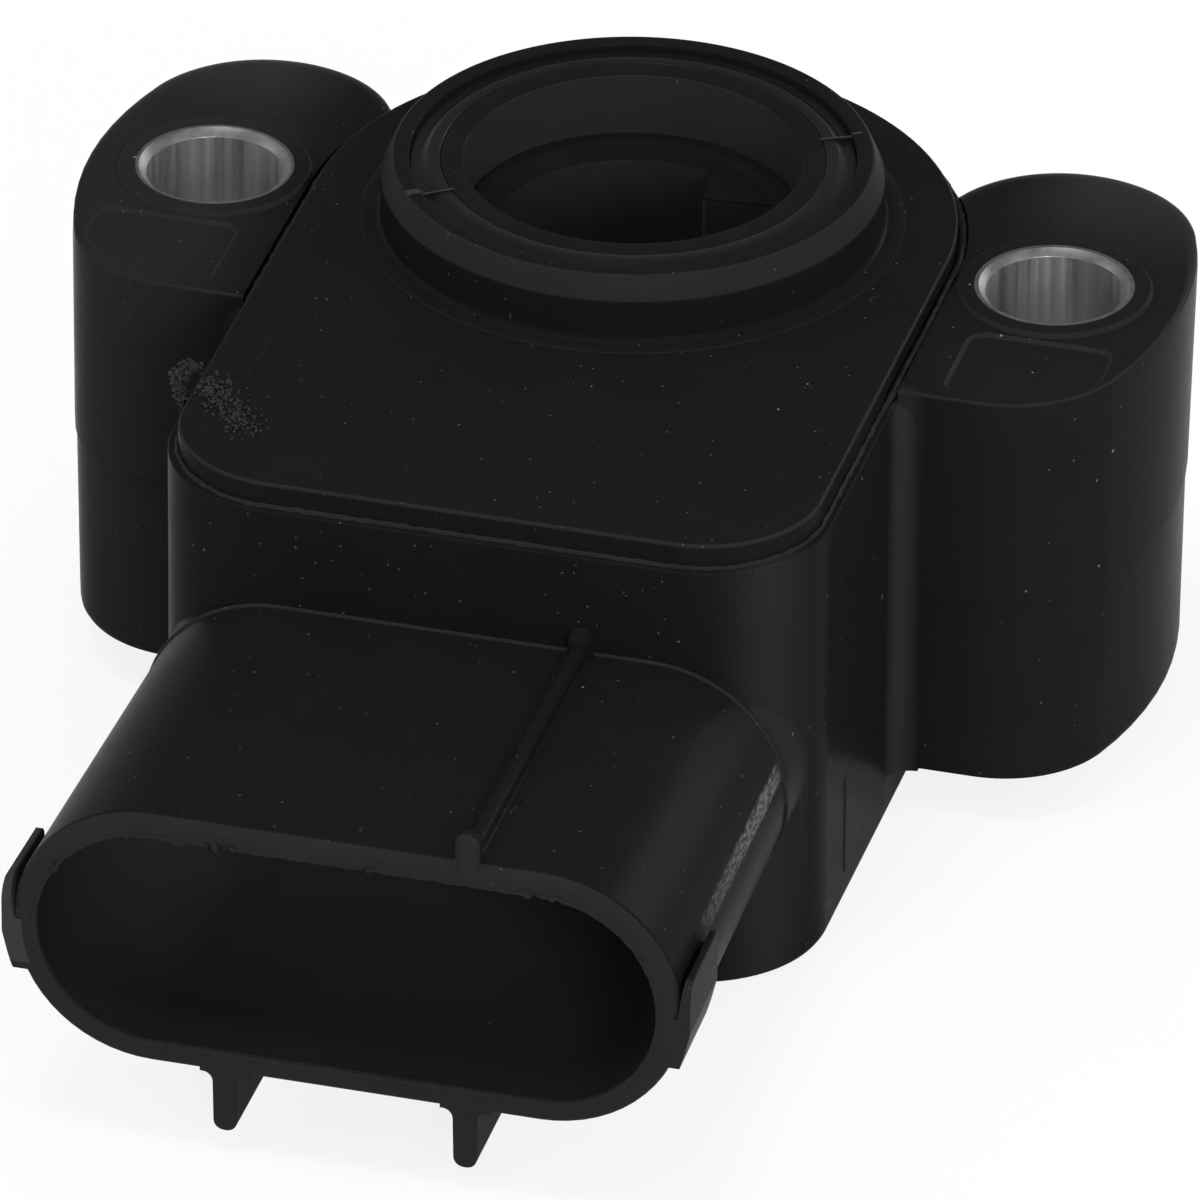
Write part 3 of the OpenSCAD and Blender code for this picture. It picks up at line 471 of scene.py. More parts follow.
def dust_group():
    """Stray dust: sparse pale specks, each a little blob in its own cell."""
    tree, given, place, per_metre = effect("dust",
        {"Cell Size": 1.6, "Speck Size": 0.05, "Share": 0.1}, "Dust")
    bent = put(tree, "TexNoise", {"Vector": place, "Scale": 2600, "Detail": 1})
    bent = put(tree, "VectorMath", {0: bent.outputs["Color"], "Scale": 0.00012}, operation="SCALE")
    bent = put(tree, "VectorMath", {0: place, 1: bent.outputs[0]}, operation="ADD").outputs[0]
    cell = put(tree, "TexVoronoi", {"Vector": bent, "Scale": per_metre, "Randomness": 1})
    odds = put(tree, "SeparateColor", {"Color": cell.outputs["Color"]})
    chosen = put(tree, "Math", {0: odds.outputs[0], 1: given.outputs["Share"]}, operation="LESS_THAN")
    reach = put(tree, "Math", {0: given.outputs["Speck Size"], 1: given.outputs["Cell Size"]},
        operation="DIVIDE")
    reach = put(tree, "Math", {0: reach.outputs[0], 1: odds.outputs[1]}, operation="MULTIPLY")
    inside = put(tree, "Math", {0: cell.outputs["Distance"], 1: reach.outputs[0]}, operation="LESS_THAN")
    both = put(tree, "Math", {0: inside.outputs[0], 1: chosen.outputs[0]}, operation="MULTIPLY")
    out = tree.nodes.new("NodeGroupOutput")
    tree.links.new(both.outputs[0], out.inputs["Dust"])
    return tree


def fibre_group():
    """Stray fibres: short curved hairs, each an arc of a shell round its own cell's middle."""
    tree, given, place, per_metre = effect("fibres",
        {"Cell Size": 3.0, "Curl": 0.5, "Thickness": 0.035, "Share": 0.35}, "Fibre")
    scaled = put(tree, "VectorMath", {0: place, "Scale": per_metre}, operation="SCALE").outputs[0]
    cell = put(tree, "TexVoronoi", {"Vector": scaled, "Scale": 1, "Randomness": 1})
    odds = put(tree, "SeparateColor", {"Color": cell.outputs["Color"]})
    chosen = put(tree, "Math", {0: odds.outputs[0], 1: given.outputs["Share"]}, operation="LESS_THAN")
    shell = put(tree, "Math", {0: given.outputs["Curl"], 1: given.outputs["Cell Size"]}, operation="DIVIDE")
    shell = put(tree, "Math", {0: shell.outputs[0], 1: odds.outputs[1]}, operation="MULTIPLY")
    off = put(tree, "Math", {0: cell.outputs["Distance"], 1: shell.outputs[0]}, operation="SUBTRACT")
    off = put(tree, "Math", {0: off.outputs[0]}, operation="ABSOLUTE")
    thin = put(tree, "Math", {0: given.outputs["Thickness"], 1: given.outputs["Cell Size"]},
        operation="DIVIDE")
    thin = put(tree, "Math", {0: thin.outputs[0], 1: odds.outputs[2]}, operation="MULTIPLY")
    on_shell = put(tree, "Math", {0: off.outputs[0], 1: thin.outputs[0]}, operation="LESS_THAN")
    side = put(tree, "VectorMath", {0: scaled, 1: cell.outputs["Position"]}, operation="SUBTRACT")
    side = put(tree, "VectorMath", {0: side.outputs[0]}, operation="NORMALIZE")
    aim = put(tree, "VectorMath", {0: cell.outputs["Color"], 1: (0.5, 0.5, 0.5)}, operation="SUBTRACT")
    aim = put(tree, "VectorMath", {0: aim.outputs[0]}, operation="NORMALIZE")
    facing = put(tree, "VectorMath", {0: side.outputs[0], 1: aim.outputs[0]}, operation="DOT_PRODUCT")
    arc = put(tree, "Math", {0: facing.outputs["Value"], 1: 0.45}, operation="GREATER_THAN")
    both = put(tree, "Math", {0: on_shell.outputs[0], 1: chosen.outputs[0]}, operation="MULTIPLY")
    both = put(tree, "Math", {0: both.outputs[0], 1: arc.outputs[0]}, operation="MULTIPLY")
    out = tree.nodes.new("NodeGroupOutput")
    tree.links.new(both.outputs[0], out.inputs["Fibre"])
    return tree


skin = grain_group()
dust = dust_group()
fibres = fibre_group()


def moulded_plastic(name, colour, rough, grain=0.6, specks=1.0, gloss=0.006):
    """Moulded plastic: its colour barely mottled, its grain in roughness and bump, dust and fibres on it."""
    paint = bpy.data.materials.new(name)
    paint.use_nodes = True
    tree = paint.node_tree
    surface = tree.nodes["Principled BSDF"]
    surface.inputs["Specular IOR Level"].default_value = gloss
    feel = put(tree, "Group", node_tree=skin)
    feel.inputs["Grain"].default_value = grain
    shade = put(tree, "Math", {0: feel.outputs["Tone"], 1: 1.0}, operation="ADD")
    tint = put(tree, "VectorMath", {0: colour, "Scale": shade.outputs[0]}, operation="SCALE").outputs[0]
    for cell_size, speck_size, share, pale in ((0.62, 0.055, specks, 0.07), (2.2, 0.1, 0.8 * specks, 0.17)):
        lint = put(tree, "Group", node_tree=dust)
        for socket, value in (("Cell Size", cell_size), ("Speck Size", speck_size), ("Share", share)):
            lint.inputs[socket].default_value = value
        tint = put(tree, "Mix", {0: lint.outputs["Dust"], 6: tint, 7: (pale, pale, pale * 1.04, 1)},
            data_type="RGBA").outputs[2]
    hair = put(tree, "Group", node_tree=fibres)
    hair.inputs["Share"].default_value = 0.4 * specks
    tint = put(tree, "Mix", {0: hair.outputs["Fibre"], 6: tint, 7: (0.06, 0.06, 0.064, 1)},
        data_type="RGBA").outputs[2]
    tree.links.new(tint, surface.inputs["Base Color"])
    rougher = put(tree, "Math", {0: feel.outputs["Tone"], 1: 0.5, 2: rough}, operation="MULTIPLY_ADD")
    tree.links.new(rougher.outputs[0], surface.inputs["Roughness"])
    bump = put(tree, "Bump", {"Height": feel.outputs["Height"], "Strength": 0.2, "Distance": 0.00006})
    tree.links.new(bump.outputs[0], surface.inputs["Normal"])
    return paint


black_plastic = moulded_plastic("black_plastic", (0.0095, 0.0095, 0.0097), 0.28)
# a paler plastic that paints light onto inner walls that lie in shade: the collar's bore and the hub's drive
# socket
inner_painted_light_plastic = moulded_plastic("inner_painted_light_plastic", (0.026, 0.0255, 0.026), 0.4, grain=0.8, specks=0.3)
# a paler plastic that paints highlights onto edges, bands and rims; the weld flash and the mouth burr wear it
# too
edge_highlight_plastic = moulded_plastic("edge_highlight_plastic", (0.019, 0.019, 0.0195), 0.35, grain=0.8)
# pale torn plastic for the torn flash; it also paints light onto the witness line, and paints the left latch
# tongue and the collar's ribs paler
torn_and_highlight_plastic = moulded_plastic("torn_and_highlight_plastic", (0.036, 0.036, 0.037), 0.5, grain=1.0, specks=0.3)

# painted light: the connector's inside is painted paler, and the deeper it lies the paler it is painted
mouth_painted_light_plastic = moulded_plastic("mouth_painted_light_plastic", (0.045, 0.044, 0.045), 0.4, grain=0.8, specks=0.3)
mouth_tree = mouth_painted_light_plastic.node_tree
mouth_colour = mouth_tree.nodes["Principled BSDF"].inputs["Base Color"]
mouth_at = put(mouth_tree, "SeparateXYZ", {0: put(mouth_tree, "TexCoord").outputs["Object"]})
mouth_painted_light = put(mouth_tree, "MapRange", {"Value": mouth_at.outputs["Y"], "From Min": -0.0455,
    "From Max": -0.031, "To Min": 0.2, "To Max": 1.25})
mouth_tint = put(mouth_tree, "VectorMath", {0: mouth_colour.links[0].from_socket,
    "Scale": mouth_painted_light.outputs[0]}, operation="SCALE")
mouth_tree.links.new(mouth_tint.outputs[0], mouth_colour)

# the housing's own plastic, with a pale hatched scuff along the shroud's right round end, and painted
# highlights on the ears, the block's front right corner and the hollow beside the right ear
housing_plastic = moulded_plastic("housing_plastic", (0.0095, 0.0095, 0.0097), 0.28)
housing_tree = housing_plastic.node_tree
housing_surface = housing_tree.nodes["Principled BSDF"]
housing_place = put(housing_tree, "TexCoord").outputs["Object"]
housing_at = put(housing_tree, "SeparateXYZ", {0: housing_place})
scuff_off = put(housing_tree, "Math", {0: housing_at.outputs["Z"], 1: 0.00945}, operation="ADD")
scuff_off = put(housing_tree, "Math", {0: scuff_off.outputs[0]}, operation="ABSOLUTE")
scuff = put(housing_tree, "MapRange", {"Value": scuff_off.outputs[0], "From Min": 0.00024, "From Max": 0.0005,
    "To Min": 1.0, "To Max": 0.0}, interpolation_type="SMOOTHSTEP").outputs[0]
for axis, low, high, least, most in (("X", 0.0125, 0.013, 0, 1), ("Y", -0.0404, -0.0398, 0, 1),
        ("Y", -0.0395, -0.0315, 0.3, 1), ("Y", -0.0267, -0.0278, 0, 1)):
    part = put(housing_tree, "MapRange", {"Value": housing_at.outputs[axis], "From Min": low, "From Max": high,
        "To Min": least, "To Max": most})
    scuff = put(housing_tree, "Math", {0: scuff, 1: part.outputs[0]}, operation="MULTIPLY").outputs[0]
hatch_way = put(housing_tree, "Mapping", {"Vector": housing_place,
    "Rotation": (0.9, 0, 0), "Scale": (0.3, 0.25, 1)})
hatch = put(housing_tree, "TexNoise", {"Vector": hatch_way.outputs[0], "Scale": 9000, "Detail": 3})
hatch = put(housing_tree, "MapRange", {"Value": hatch.outputs["Fac"], "From Min": 0.38, "From Max": 0.62,
    "To Min": 0.08, "To Max": 1.0})
scuff = put(housing_tree, "Math", {0: scuff, 1: hatch.outputs[0]}, operation="MULTIPLY")
# painted highlight: the ears are painted paler, most along their backs and on the left one
highlight_side = put(housing_tree, "Math", {0: housing_at.outputs["X"]}, operation="ABSOLUTE")
highlight_ear = put(housing_tree, "MapRange", {"Value": highlight_side.outputs[0], "From Min": 0.0148, "From Max": 0.0185})
highlight_back = put(housing_tree, "MapRange", {"Value": housing_at.outputs["Y"], "From Min": 0.002, "From Max": 0.0102,
    "To Min": 0.12, "To Max": 0.85}, interpolation_type="SMOOTHSTEP")
highlight_left = put(housing_tree, "MapRange", {"Value": housing_at.outputs["X"], "From Min": -0.0165,
    "From Max": -0.0148, "To Min": 0.42, "To Max": 0.0})
highlight = put(housing_tree, "Math", {0: highlight_back.outputs[0], 1: highlight_left.outputs[0]}, operation="MAXIMUM")
highlight = put(housing_tree, "Math", {0: highlight.outputs[0], 1: highlight_ear.outputs[0]}, operation="MULTIPLY")
# and so are the block's front right corner and the hollow beside the right ear, with a painted highlight
for highlight_x, highlight_y, reach, most in ((0.0130, -0.0251, 0.0028, 0.6), (0.0150, -0.0107, 0.0012, 0.8)):
    away = put(housing_tree, "CombineXYZ", {0: housing_at.outputs["X"], 1: housing_at.outputs["Y"]})
    away = put(housing_tree, "VectorMath", {0: away.outputs[0], 1: (highlight_x, highlight_y, 0)}, operation="DISTANCE")
    near = put(housing_tree, "MapRange", {"Value": away.outputs["Value"], "From Min": 0.0, "From Max": reach,
        "To Min": most, "To Max": 0.0}, interpolation_type="SMOOTHSTEP")
    highlight = put(housing_tree, "Math", {0: highlight.outputs[0], 1: near.outputs[0]}, operation="MAXIMUM")
bare_tint = housing_surface.inputs["Base Color"].links[0].from_socket
highlight_tint = put(housing_tree, "Mix", {0: highlight.outputs[0], 6: bare_tint, 7: (0.026, 0.026, 0.0265, 1)},
    data_type="RGBA")
scuff_and_highlight_tint = put(housing_tree, "Mix", {0: scuff.outputs[0], 6: highlight_tint.outputs[2],
    7: (0.13, 0.133, 0.14, 1)}, data_type="RGBA")
housing_tree.links.new(scuff_and_highlight_tint.outputs[2], housing_surface.inputs["Base Color"])


def finish_where(piece, skin_there, is_there):
    """Gives some faces of a piece another material, most often a paler one that paints light or highlights on
    them.
    """
    piece.data.materials.append(skin_there)
    for face in piece.data.polygons:
        if is_there(face.center / MM, face.normal):
            face.material_index = len(piece.data.materials) - 1


housing = set_down(housing, "housing_moulding", housing_plastic, "case", "housing_plastic", "housing")
# painted light: inside the connector, its floor and the walls that face its middle get the paler mouth
# plastic
finish_where(housing, mouth_painted_light_plastic, lambda at, way: at.y < -28.2 and abs(at.x) < 14.0
    and abs(at.z - SHROUD_MID_Z) < 5.4
    and (at.y > -29 or way.x * at.x + way.z * (at.z - SHROUD_MID_Z) < -0.01))
# painted highlights: the mouth's rim, the ears' front top edges, and the bead at the shroud's root get the
# paler edge plastic
finish_where(housing, edge_highlight_plastic, lambda at, way: at.y < -44.4 and way.y < -0.35
    or 0.15 < way.z < 0.96 and at.z > -0.3 and abs(at.x) > 14.8 and at.y < 7
    or -26.92 < at.y < -26.82 and at.z > SHROUD_MID_Z and abs(at.x) < 14.6)
# painted light: the witness line, which faces away from the lamps, is painted pale; the left latch tongue is
# painted paler too
finish_where(housing, torn_and_highlight_plastic, lambda at, way: at.x > 14.655 and -18.3 < at.y < -17.9
    and -19.8 < at.z < -14.8 or at.x < -14.5 and at.y < -38)

# ---- Cover ----
# The lid with the round collar that centres the sensor in the throttle body: a second moulding of
# the same plastic, with a skirt that drops into the block, laser welded all round its edge.
COVER_TOP = 0.6
plate = raised(tombstone(0.45), *eased_ends(RIM_Z, COVER_TOP, 0, 0.16))
skirt = joined(raised(tombstone(1.85), (-1.93, 0.1), (-1.83, 0), (-0.3, 0)),
    raised(tombstone(2.95), (-2.5, 0), (0.5, 0)), how="DIFFERENCE")
# a faint crease beside the left edge, where the mould's insert ends
crease = raised(trace((-12.32, -18.4, 0), (-12.2, -18.4, 0), (-12.02, -10.1, 0), (-12.1, -10.1, 0)),
    (0.3, 0), (COVER_TOP + 0.015, 0), (COVER_TOP + 0.03, 0.02))
bore = turned((0, -3, 0), (10.6, -3, 0), (10.6, 3, 0), (0, 3, 0), steps=160)
cover = joined(joined(plate, skirt, crease), bore, how="DIFFERENCE")
collar = turned((7.38, RIM_Z, 0), (11.9, RIM_Z, 0), (11.9, 0.635, 0.03), (11.0, 0.66, 0.3), (11.0, 2.6, 0.3),
    (10.52, 3.7, 0.14), (9.75, 3.7, 0.1), (9.75, 2.2, 0.08), (8.4, 2.2, 0.08), (8.4, 3.55, 0.1),
    (7.38, 3.55, 0.14), fine=15, steps=160)
# two thin radial ribs bridge the groove and run on over the lip
RIB_ANGLES = (27, 215.5)
ribs = [moved(raised(trace((inner, -0.06, 0), (outer, -0.06, 0), (outer, 0.06, 0), (inner, 0.06, 0)),
    (3.2, 0), (top - 0.03, 0), (top, 0.02)), turn=angle) for angle in RIB_ANGLES
    for inner, outer, top in ((8.3, 9.8, 3.6), (9.74, 10.2, 3.74))]
cover = joined(joined(cover, collar), *ribs)
cover = set_down(cover, "cover_moulding", black_plastic, "case", "cover_plastic", "cover")


def on_a_rib(at, way):
    """Whether a place on the cover is on one of the two thin ribs."""
    angle = math.degrees(math.atan2(at.y, at.x)) % 180
    return (at.z > 3.56 and 8.35 < math.hypot(at.x, at.y) < 10.25
        and min(abs(angle - rib % 180) for rib in RIB_ANGLES) < 0.5)


# painted light: the collar's bore wall is painted paler than its shade
finish_where(cover, inner_painted_light_plastic, lambda at, way: math.hypot(at.x, at.y) < 7.5 and abs(way.z) < 0.5)
# painted highlights: the collar's outer band and the plate's rounded top edge are painted paler
finish_where(cover, edge_highlight_plastic, lambda at, way: at.z > 2.7 and math.hypot(at.x, at.y) > 10.3
    or 0.4 < at.z < 0.64 and 0.15 < way.z < 0.96)
# the two thin ribs are painted paler
finish_where(cover, torn_and_highlight_plastic, on_a_rib)

# ---- Weld flash ----
# Plastic that welding the cover on pressed out of the joint: a thin ragged bead round the cover's
# foot, which rises between the cover and the ears and is roughest at the left edge, where it tore.
def divided(outline, longest, step):
    """Divides an outline's long straight runs into short ones, so that it can be made ragged."""
    for run in [e for e in outline.edges if e.calc_length() > longest]:
        bmesh.ops.subdivide_edges(outline, edges=[run], cuts=int(run.calc_length() / step))
    return outline


flash = bead(divided(tombstone(0.4, fine=1.2), 0.6, 0.3), (-0.62, 0.2), (-0.62, -0.12), (-0.52, -0.14),
    (-0.45, -0.09), (-0.38, -0.02), (-0.44, 0.08), (-0.6, 0.2))
for v in flash.verts:
    if v.co.z > -0.55:
        torn = max(0, 1 - abs(v.co.y + 16.5) / 4.5) if v.co.x < -12 else 0
        rough = noise.noise(v.co * 2.3) + 0.5 * noise.noise(v.co * 7.1)
        out = Vector((v.co.x, v.co.y + 8 if v.co.y < 0 else v.co.y, 0)).normalized()
        v.co += out * (0.08 + 0.35 * torn) * rough
        v.co.z += (0.06 + 0.3 * torn) * noise.noise(v.co * 3.7 + Vector((5, 0, 0)))
        beside_ear = max(0, min(1, v.co.y + 11.2)) * max(0, min(1, 11 - v.co.y))
        v.co += out * 0.2 * beside_ear
        v.co.z += 0.36 * beside_ear
# the flash is given the paler plastic that paints edge highlights
set_down(flash, "weld_flash", edge_highlight_plastic, "case", "housing_plastic", sharp=50)

# ---- Torn flash ----
# Where the weld flash was torn at the cover's front left corner, it left a curl that hangs over the
# block's edge and crumbs that stick to the cover.
CURL_CRUMBS, ALL_CRUMBS = 300, 720


def inside_cover(at):
    """How far a place lies inside the cover's front left corner."""
    half, front, radius = 14.2, 26.35, 5.25
    corner = Vector((-half + radius, -front + radius, 0))
    if at.x < corner.x and at.y < corner.y:
        return radius - (Vector((at.x, at.y, 0)) - corner).length
    return min(at.x + half, at.y + front)


# the same crumbs each run
noise.seed_set(11)
crumbs = bmesh.new()
for k in range(ALL_CRUMBS):
    chance = noise.noise_vector(Vector((k * 1.37, 3.1, 7.7)))
    more = noise.noise_vector(Vector((k * 0.83, 9.4, 1.2)))
    if k < CURL_CRUMBS:
        share = k / (CURL_CRUMBS - 1)
        turn = 0.4 + 4.2 * share
        at = Vector((-14.5 - 0.7 * math.sin(turn * 0.75), -17.2 - 2.7 * share, 0.05 + 0.42 * math.sin(turn)))
        at += chance * 0.55
        size = 0.04 + 0.1 * abs(more.y)
    else:
        share = (k - CURL_CRUMBS) / (ALL_CRUMBS - CURL_CRUMBS - 1)
        at = Vector((-14.0 + 3.3 * share, -18.6 - 4.0 * share, 0.62))
        at += Vector((chance.x * 1.7, chance.y * 1.5, 0.03))
        size = 0.02 + 0.13 * abs(more.z) * (1 - 0.5 * share)
        if inside_cover(at) < 0.1:
            continue
    made = bmesh.ops.create_icosphere(crumbs, subdivisions=2, radius=size,
        matrix=Matrix.Translation(at))["verts"]
    for v in made:
        v.co = at + (v.co - at) * (1 + 1.3 * noise.noise((v.co - at) * (1.1 / size) + Vector((k, 0, 0))))
set_down(crumbs, "torn_flash", torn_and_highlight_plastic, "case", "housing_plastic", sharp=40)

# ---- Mouth burr ----
# The thin ragged edge of plastic that the mould's core left round the inside of the connector's
# mouth, with a few longer tufts along its top.
burr = bead(divided(stadium(0.88, fine=1.5), 0.5, 0.2), (44.6, 0.2), (44.6, 0), (44.97, 0), (45.03, 0.03),
    (45.04, 0.1), (44.98, 0.2))
for v in burr.verts:
    if v.co.z > 44.9:
        tuft = max(0, noise.noise(Vector((v.co.x * 0.9, v.co.y * 0.9, 3))) - 0.1)
        tuft *= 2.2 if v.co.y > 0 else 0.6
        v.co.z += 0.05 * noise.noise(v.co * 4.1) + 0.25 * tuft * abs(noise.noise(v.co * 9))
        v.co.y -= (0.05 + 0.5 * tuft) * noise.noise(v.co * 5.7)
# the burr is given the paler plastic that paints edge highlights
set_down(along_shroud(burr), "mouth_burr", edge_highlight_plastic, "case", "housing_plastic", sharp=50)

# ---- Collar seal ----
# The ring that seals the sensor to the throttle body: moulded black rubber, a little glossier than
# the plastic, pressed into the groove in the collar's top, with a low lip inside.
seal_rubber = moulded_plastic("seal_rubber", (0.0095, 0.0095, 0.01), 0.25, grain=0.3, specks=0.3,
    gloss=0.12)
seal = turned((8.42, 2.2, 0), (9.73, 2.2, 0), (9.73, 3.36, 0.05), (9.3, 3.36, 0.08), (8.95, 3.53, 0.1),
    (8.42, 3.53, 0.05), steps=160)
set_down(seal, "seal_ring", seal_rubber, "case", "seal_rubber", "collar_seal")

# ---- Sleeves ----
# Two turned aluminium tubes moulded into the ears to take the screws' load. Their bores are drawn,
# with long streaks, and chamfered at both ends.
sleeve_metal = bpy.data.materials.new("sleeve_metal")
sleeve_metal.use_nodes = True
sleeve_tree = sleeve_metal.node_tree
sleeve_surface = sleeve_tree.nodes["Principled BSDF"]
sleeve_surface.inputs["Metallic"].default_value = 1
drawn = put(sleeve_tree, "Mapping", {"Vector": put(sleeve_tree, "TexCoord").outputs["Object"],
    "Scale": (1, 1, 0.02)})
streak = put(sleeve_tree, "TexNoise", {"Vector": drawn.outputs[0], "Scale": 1900, "Detail": 3,
    "Roughness": 0.6})
streak_rough = put(sleeve_tree, "MapRange", {"Value": streak.outputs["Fac"], "From Min": 0.3, "From Max": 0.7,
    "To Min": 0.24, "To Max": 0.42})
streak_tone = put(sleeve_tree, "MapRange", {"Value": streak.outputs["Fac"], "From Min": 0.35,
    "From Max": 0.65, "To Min": 0.76, "To Max": 0.95})
sleeve_tree.links.new(streak_rough.outputs[0], sleeve_surface.inputs["Roughness"])
sleeve_tint = put(sleeve_tree, "CombineColor", {0: streak_tone.outputs[0], 1: streak_tone.outputs[0],
    2: streak_tone.outputs[0]})
sleeve_tree.links.new(sleeve_tint.outputs[0], sleeve_surface.inputs["Base Color"])
sleeve_bump = put(sleeve_tree, "Bump", {"Height": streak.outputs["Fac"], "Strength": 0.5,
    "Distance": 0.00004})
sleeve_tree.links.new(sleeve_bump.outputs[0], sleeve_surface.inputs["Normal"])
# the chamfers and ends, which the lathe left duller
cut_metal = bpy.data.materials.new("cut_metal")
cut_metal.use_nodes = True
cut_tree = cut_metal.node_tree
cut_surface = cut_tree.nodes["Principled BSDF"]
cut_surface.inputs["Metallic"].default_value = 1
lathe_mark = put(cut_tree, "TexNoise", {"Vector": put(cut_tree, "TexCoord").outputs["Object"],
    "Scale": 2400, "Detail": 2})
cut_rough = put(cut_tree, "MapRange", {"Value": lathe_mark.outputs["Fac"], "To Min": 0.35, "To Max": 0.6})
cut_tone = put(cut_tree, "MapRange", {"Value": lathe_mark.outputs["Fac"], "To Min": 0.13, "To Max": 0.3})
cut_tree.links.new(cut_rough.outputs[0], cut_surface.inputs["Roughness"])
cut_tint = put(cut_tree, "CombineColor", {0: cut_tone.outputs[0], 1: cut_tone.outputs[0],
    2: cut_tone.outputs[0]})
cut_tree.links.new(cut_tint.outputs[0], cut_surface.inputs["Base Color"])
for side, at, top_cut, foot_cut in (("left", -HOLE_X, 0.34, 0.3), ("right", HOLE_X, 0.3, 0.34)):
    tube = turned((3, RING_FOOT_Z + foot_cut, 0.04), (3 + foot_cut, RING_FOOT_Z, 0.03),
        (3.49, RING_FOOT_Z, 0), (3.49, NECK_FOOT_Z, 0.02), (3.8, NECK_FOOT_Z, 0.05),
        (3.8, NECK_TOP_Z, 0.05), (3.49, NECK_TOP_Z, 0.02), (3.49, RING_TOP_Z, 0),
        (3 + top_cut, RING_TOP_Z, 0.03), (3, RING_TOP_Z - top_cut, 0.04), fine=30, steps=128)
    tube = set_down(moved(tube, x=at), "sleeve_tube_" + side, sleeve_metal, "case", "sleeve_aluminium",
        "sleeve_" + side)
    finish_where(tube, cut_metal, lambda at, way: abs(way.z) > 0.3)

# ---- Hub ----
# The part that the throttle shaft turns: a black moulding with a round drive socket, two square
# lugs in it that the shaft's flats push on, a flange under the cover and a plate at its foot.
hub_plastic = moulded_plastic("hub_plastic", (0.0095, 0.0093, 0.0096), 0.3, grain=0.35, specks=0.2)
hub = turned((0, -15.6, 0), (4.3, -15.6, 0.2), (4.3, -12.6, 0), (9.6, -12.6, 0.15), (9.6, -11.2, 0.15),
    (7.3, -11.2, 0.1), (7.3, -2.18, 0.1), (8.6, -2.18, 0.15), (8.6, -0.98, 0.15), (7.3, -0.98, 0.1),
    (7.3, 0.65, 0.08), (0, 0.65, 0), steps=128)
# the stop arm, a hair thinner than the plate, and the studs that the wiper's plate is riveted by
stop_arm = sector(8.6, 12.2, 6, 45, -12.58, -11.22)
studs = [moved(turned((0, -13.7, 0), (0.7, -13.7, 0.15), (0.7, -12, 0), (0, -12, 0), steps=24),
    x=8.4 * math.cos(math.radians(a)), y=8.4 * math.sin(math.radians(a))) for a in (66, 114)]
hub = joined(hub, stop_arm, *studs)
drive_socket = turned((0, -7.55, 0), (6, -7.55, 0.3), (6, 0.0, 0.1), (6.68, 0.68, 0), (6.68, 2, 0),
    (0, 2, 0), steps=128)
for angle in (50, 230):
    lug = moved(raised(trace((0, 0, 0.15), (8, 0, 0), (8, 8, 0), (0, 8, 0), fine=15), (-9, 0), (0.25, 0),
        (0.32, 0.03), (0.35, 0.1)), turn=-45)
    drive_socket = joined(drive_socket, moved(moved(lug, x=3.7), turn=angle), how="DIFFERENCE")
bush_hole = turned((0, -16, 0), (3.14, -16, 0), (3.14, -9.6, 0), (2, -9.6, 0), (2, -9.1, 0), (0, -9.1, 0),
    steps=64)
spring_hole = moved(turned((0, -14, 0), (0.6, -14, 0), (0.6, -10, 0), (0, -10, 0), steps=24),
    x=8.45 * math.cos(math.radians(20)), y=8.45 * math.sin(math.radians(20)))
hub = joined(hub, drive_socket, bush_hole, spring_hole, how="DIFFERENCE")
hub = set_down(hub, "hub_moulding", hub_plastic, "hub", "hub_plastic", "rotor")
# painted light: the drive socket's walls are painted paler than their shade
finish_where(hub, inner_painted_light_plastic, lambda at, way: math.hypot(at.x, at.y) < 6.1 and -8 < at.z < 0
    and abs(way.z) < 0.5)

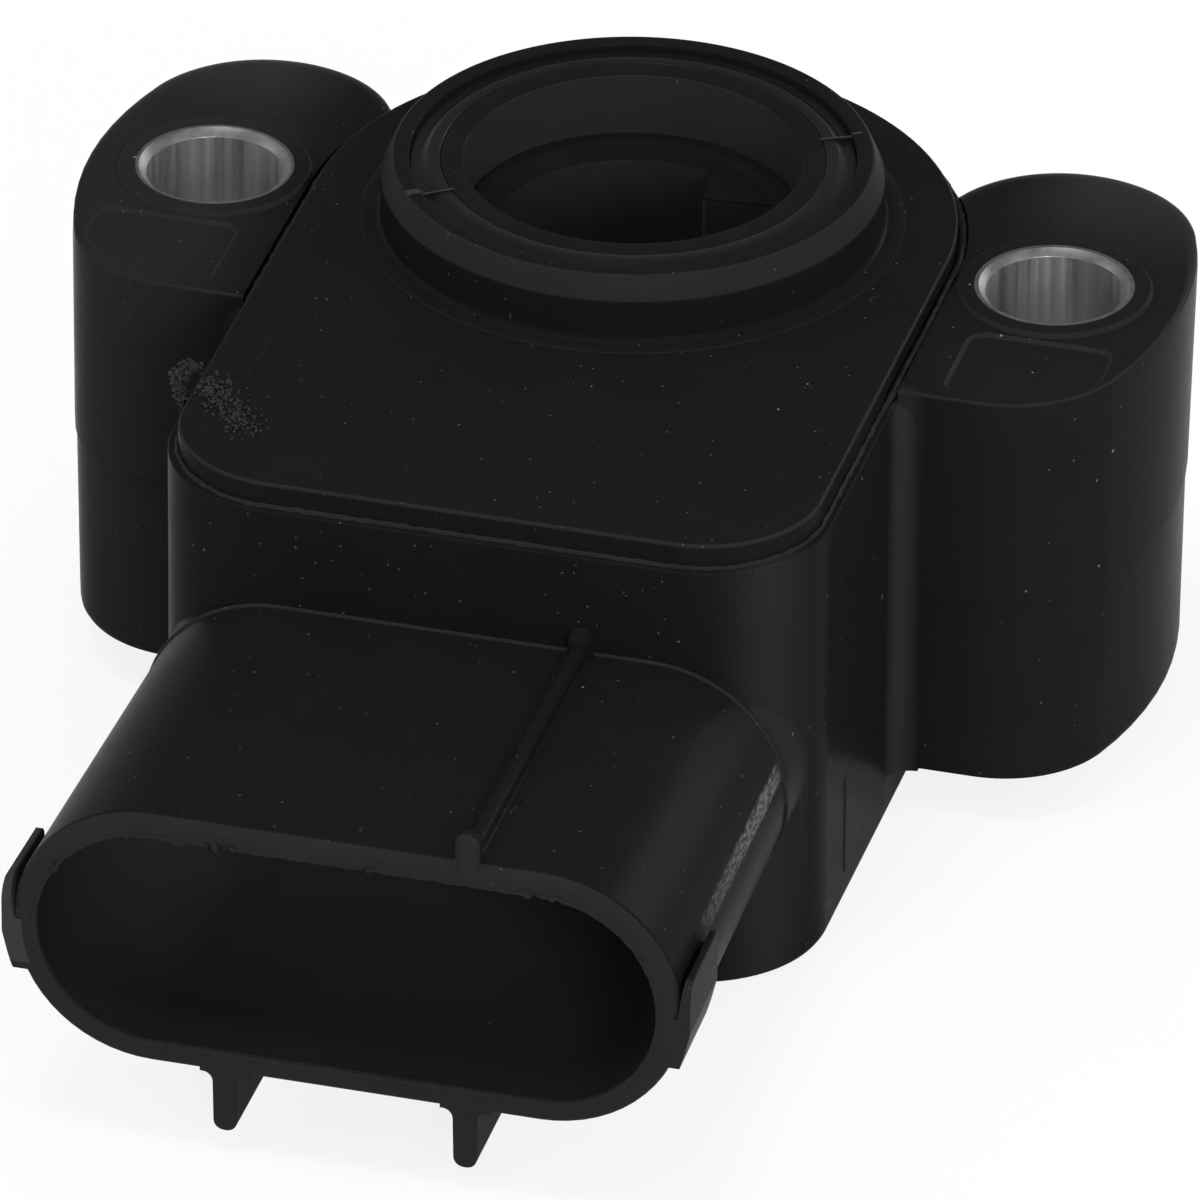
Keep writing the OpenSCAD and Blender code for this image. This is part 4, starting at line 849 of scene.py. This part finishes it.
# ---- Bush, pin and washer ----
# What the hub turns on: a ground steel pin that stands in the block's floor, a sintered bronze bush
# moulded into the hub, and a plain washer of pale plastic between the hub and the floor.
def metal(name, colour, rough, metallic=1.0, streak=(1, 1, 1)):
    """Bare metal: its colour a little uneven, with fine rolling or drawing marks in its roughness."""
    paint = bpy.data.materials.new(name)
    paint.use_nodes = True
    tree = paint.node_tree
    surface = tree.nodes["Principled BSDF"]
    surface.inputs["Metallic"].default_value = metallic
    along = put(tree, "Mapping", {"Vector": put(tree, "TexCoord").outputs["Object"], "Scale": streak})
    marks = put(tree, "TexNoise", {"Vector": along.outputs[0], "Scale": 2400, "Detail": 3})
    shade = put(tree, "MapRange", {"Value": marks.outputs["Fac"], "To Min": 0.8, "To Max": 1.15})
    tint = put(tree, "VectorMath", {0: colour, "Scale": shade.outputs[0]}, operation="SCALE")
    feel = put(tree, "MapRange", {"Value": marks.outputs["Fac"], "To Min": rough - 0.08,
        "To Max": rough + 0.1})
    tree.links.new(tint.outputs[0], surface.inputs["Base Color"])
    tree.links.new(feel.outputs[0], surface.inputs["Roughness"])
    bump = put(tree, "Bump", {"Height": marks.outputs["Fac"], "Strength": 0.3, "Distance": 0.00002})
    tree.links.new(bump.outputs[0], surface.inputs["Normal"])
    return paint


def finish_node(paint, *names):
    """Gives CAD nodes that stay as they are their finish."""
    for name in names:
        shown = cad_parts[name]
        shown.data.materials.clear()
        shown.data.materials.append(paint)


finish_node(metal("bush_bronze", (0.45, 0.27, 0.12), 0.45), "rotor_bush")
finish_node(metal("pin_steel", (0.5, 0.5, 0.51), 0.25), "pivot_pin")
finish_node(moulded_plastic("washer_plastic", (0.62, 0.6, 0.53), 0.45, grain=0.2, specks=0), "thrust_washer")

# ---- Return spring ----
# A torsion spring wound from drawn steel wire round the hub's foot. One leg is in the hub and the
# other against the block, so that it turns the hub back to its stop.
finish_node(metal("spring_steel", (0.35, 0.35, 0.36), 0.35), "return_spring")

# ---- Wiper ----
# The plate under the hub and the comb of sprung contact fingers on it: stamped sheet metal and a
# thin gold-coloured contact alloy.
contact_alloy = metal("contact_alloy", (0.68, 0.52, 0.28), 0.28)
finish_node(metal("carrier_metal", (0.55, 0.52, 0.42), 0.35), "wiper_carrier")
finish_node(contact_alloy, "wiper")

# ---- Track board ----
# The board that the fingers sweep: green laminate with its printed tracks, pushed over two posts of
# the block and held down by push-on steel clips.
finish_node(moulded_plastic("board_laminate", (0.02, 0.075, 0.04), 0.4, grain=0.3, specks=0), "track_board")
finish_node(metal("retainer_steel", (0.42, 0.42, 0.43), 0.4), "board_retainers")

# ---- Blades, links and resin ----
# The three stamped and tinned blades that the plug meets, the sprung links that join them to the
# board, and the black resin poured round their inner ends to keep water out.
finish_node(metal("blade_tin", (0.62, 0.6, 0.55), 0.32), "terminal_supply", "terminal_signal",
    "terminal_ground")
finish_node(contact_alloy, "board_link_supply", "board_link_signal", "board_link_ground")
finish_node(moulded_plastic("resin", (0.012, 0.01, 0.01), 0.25, grain=0.2, specks=0), "terminal_seal")
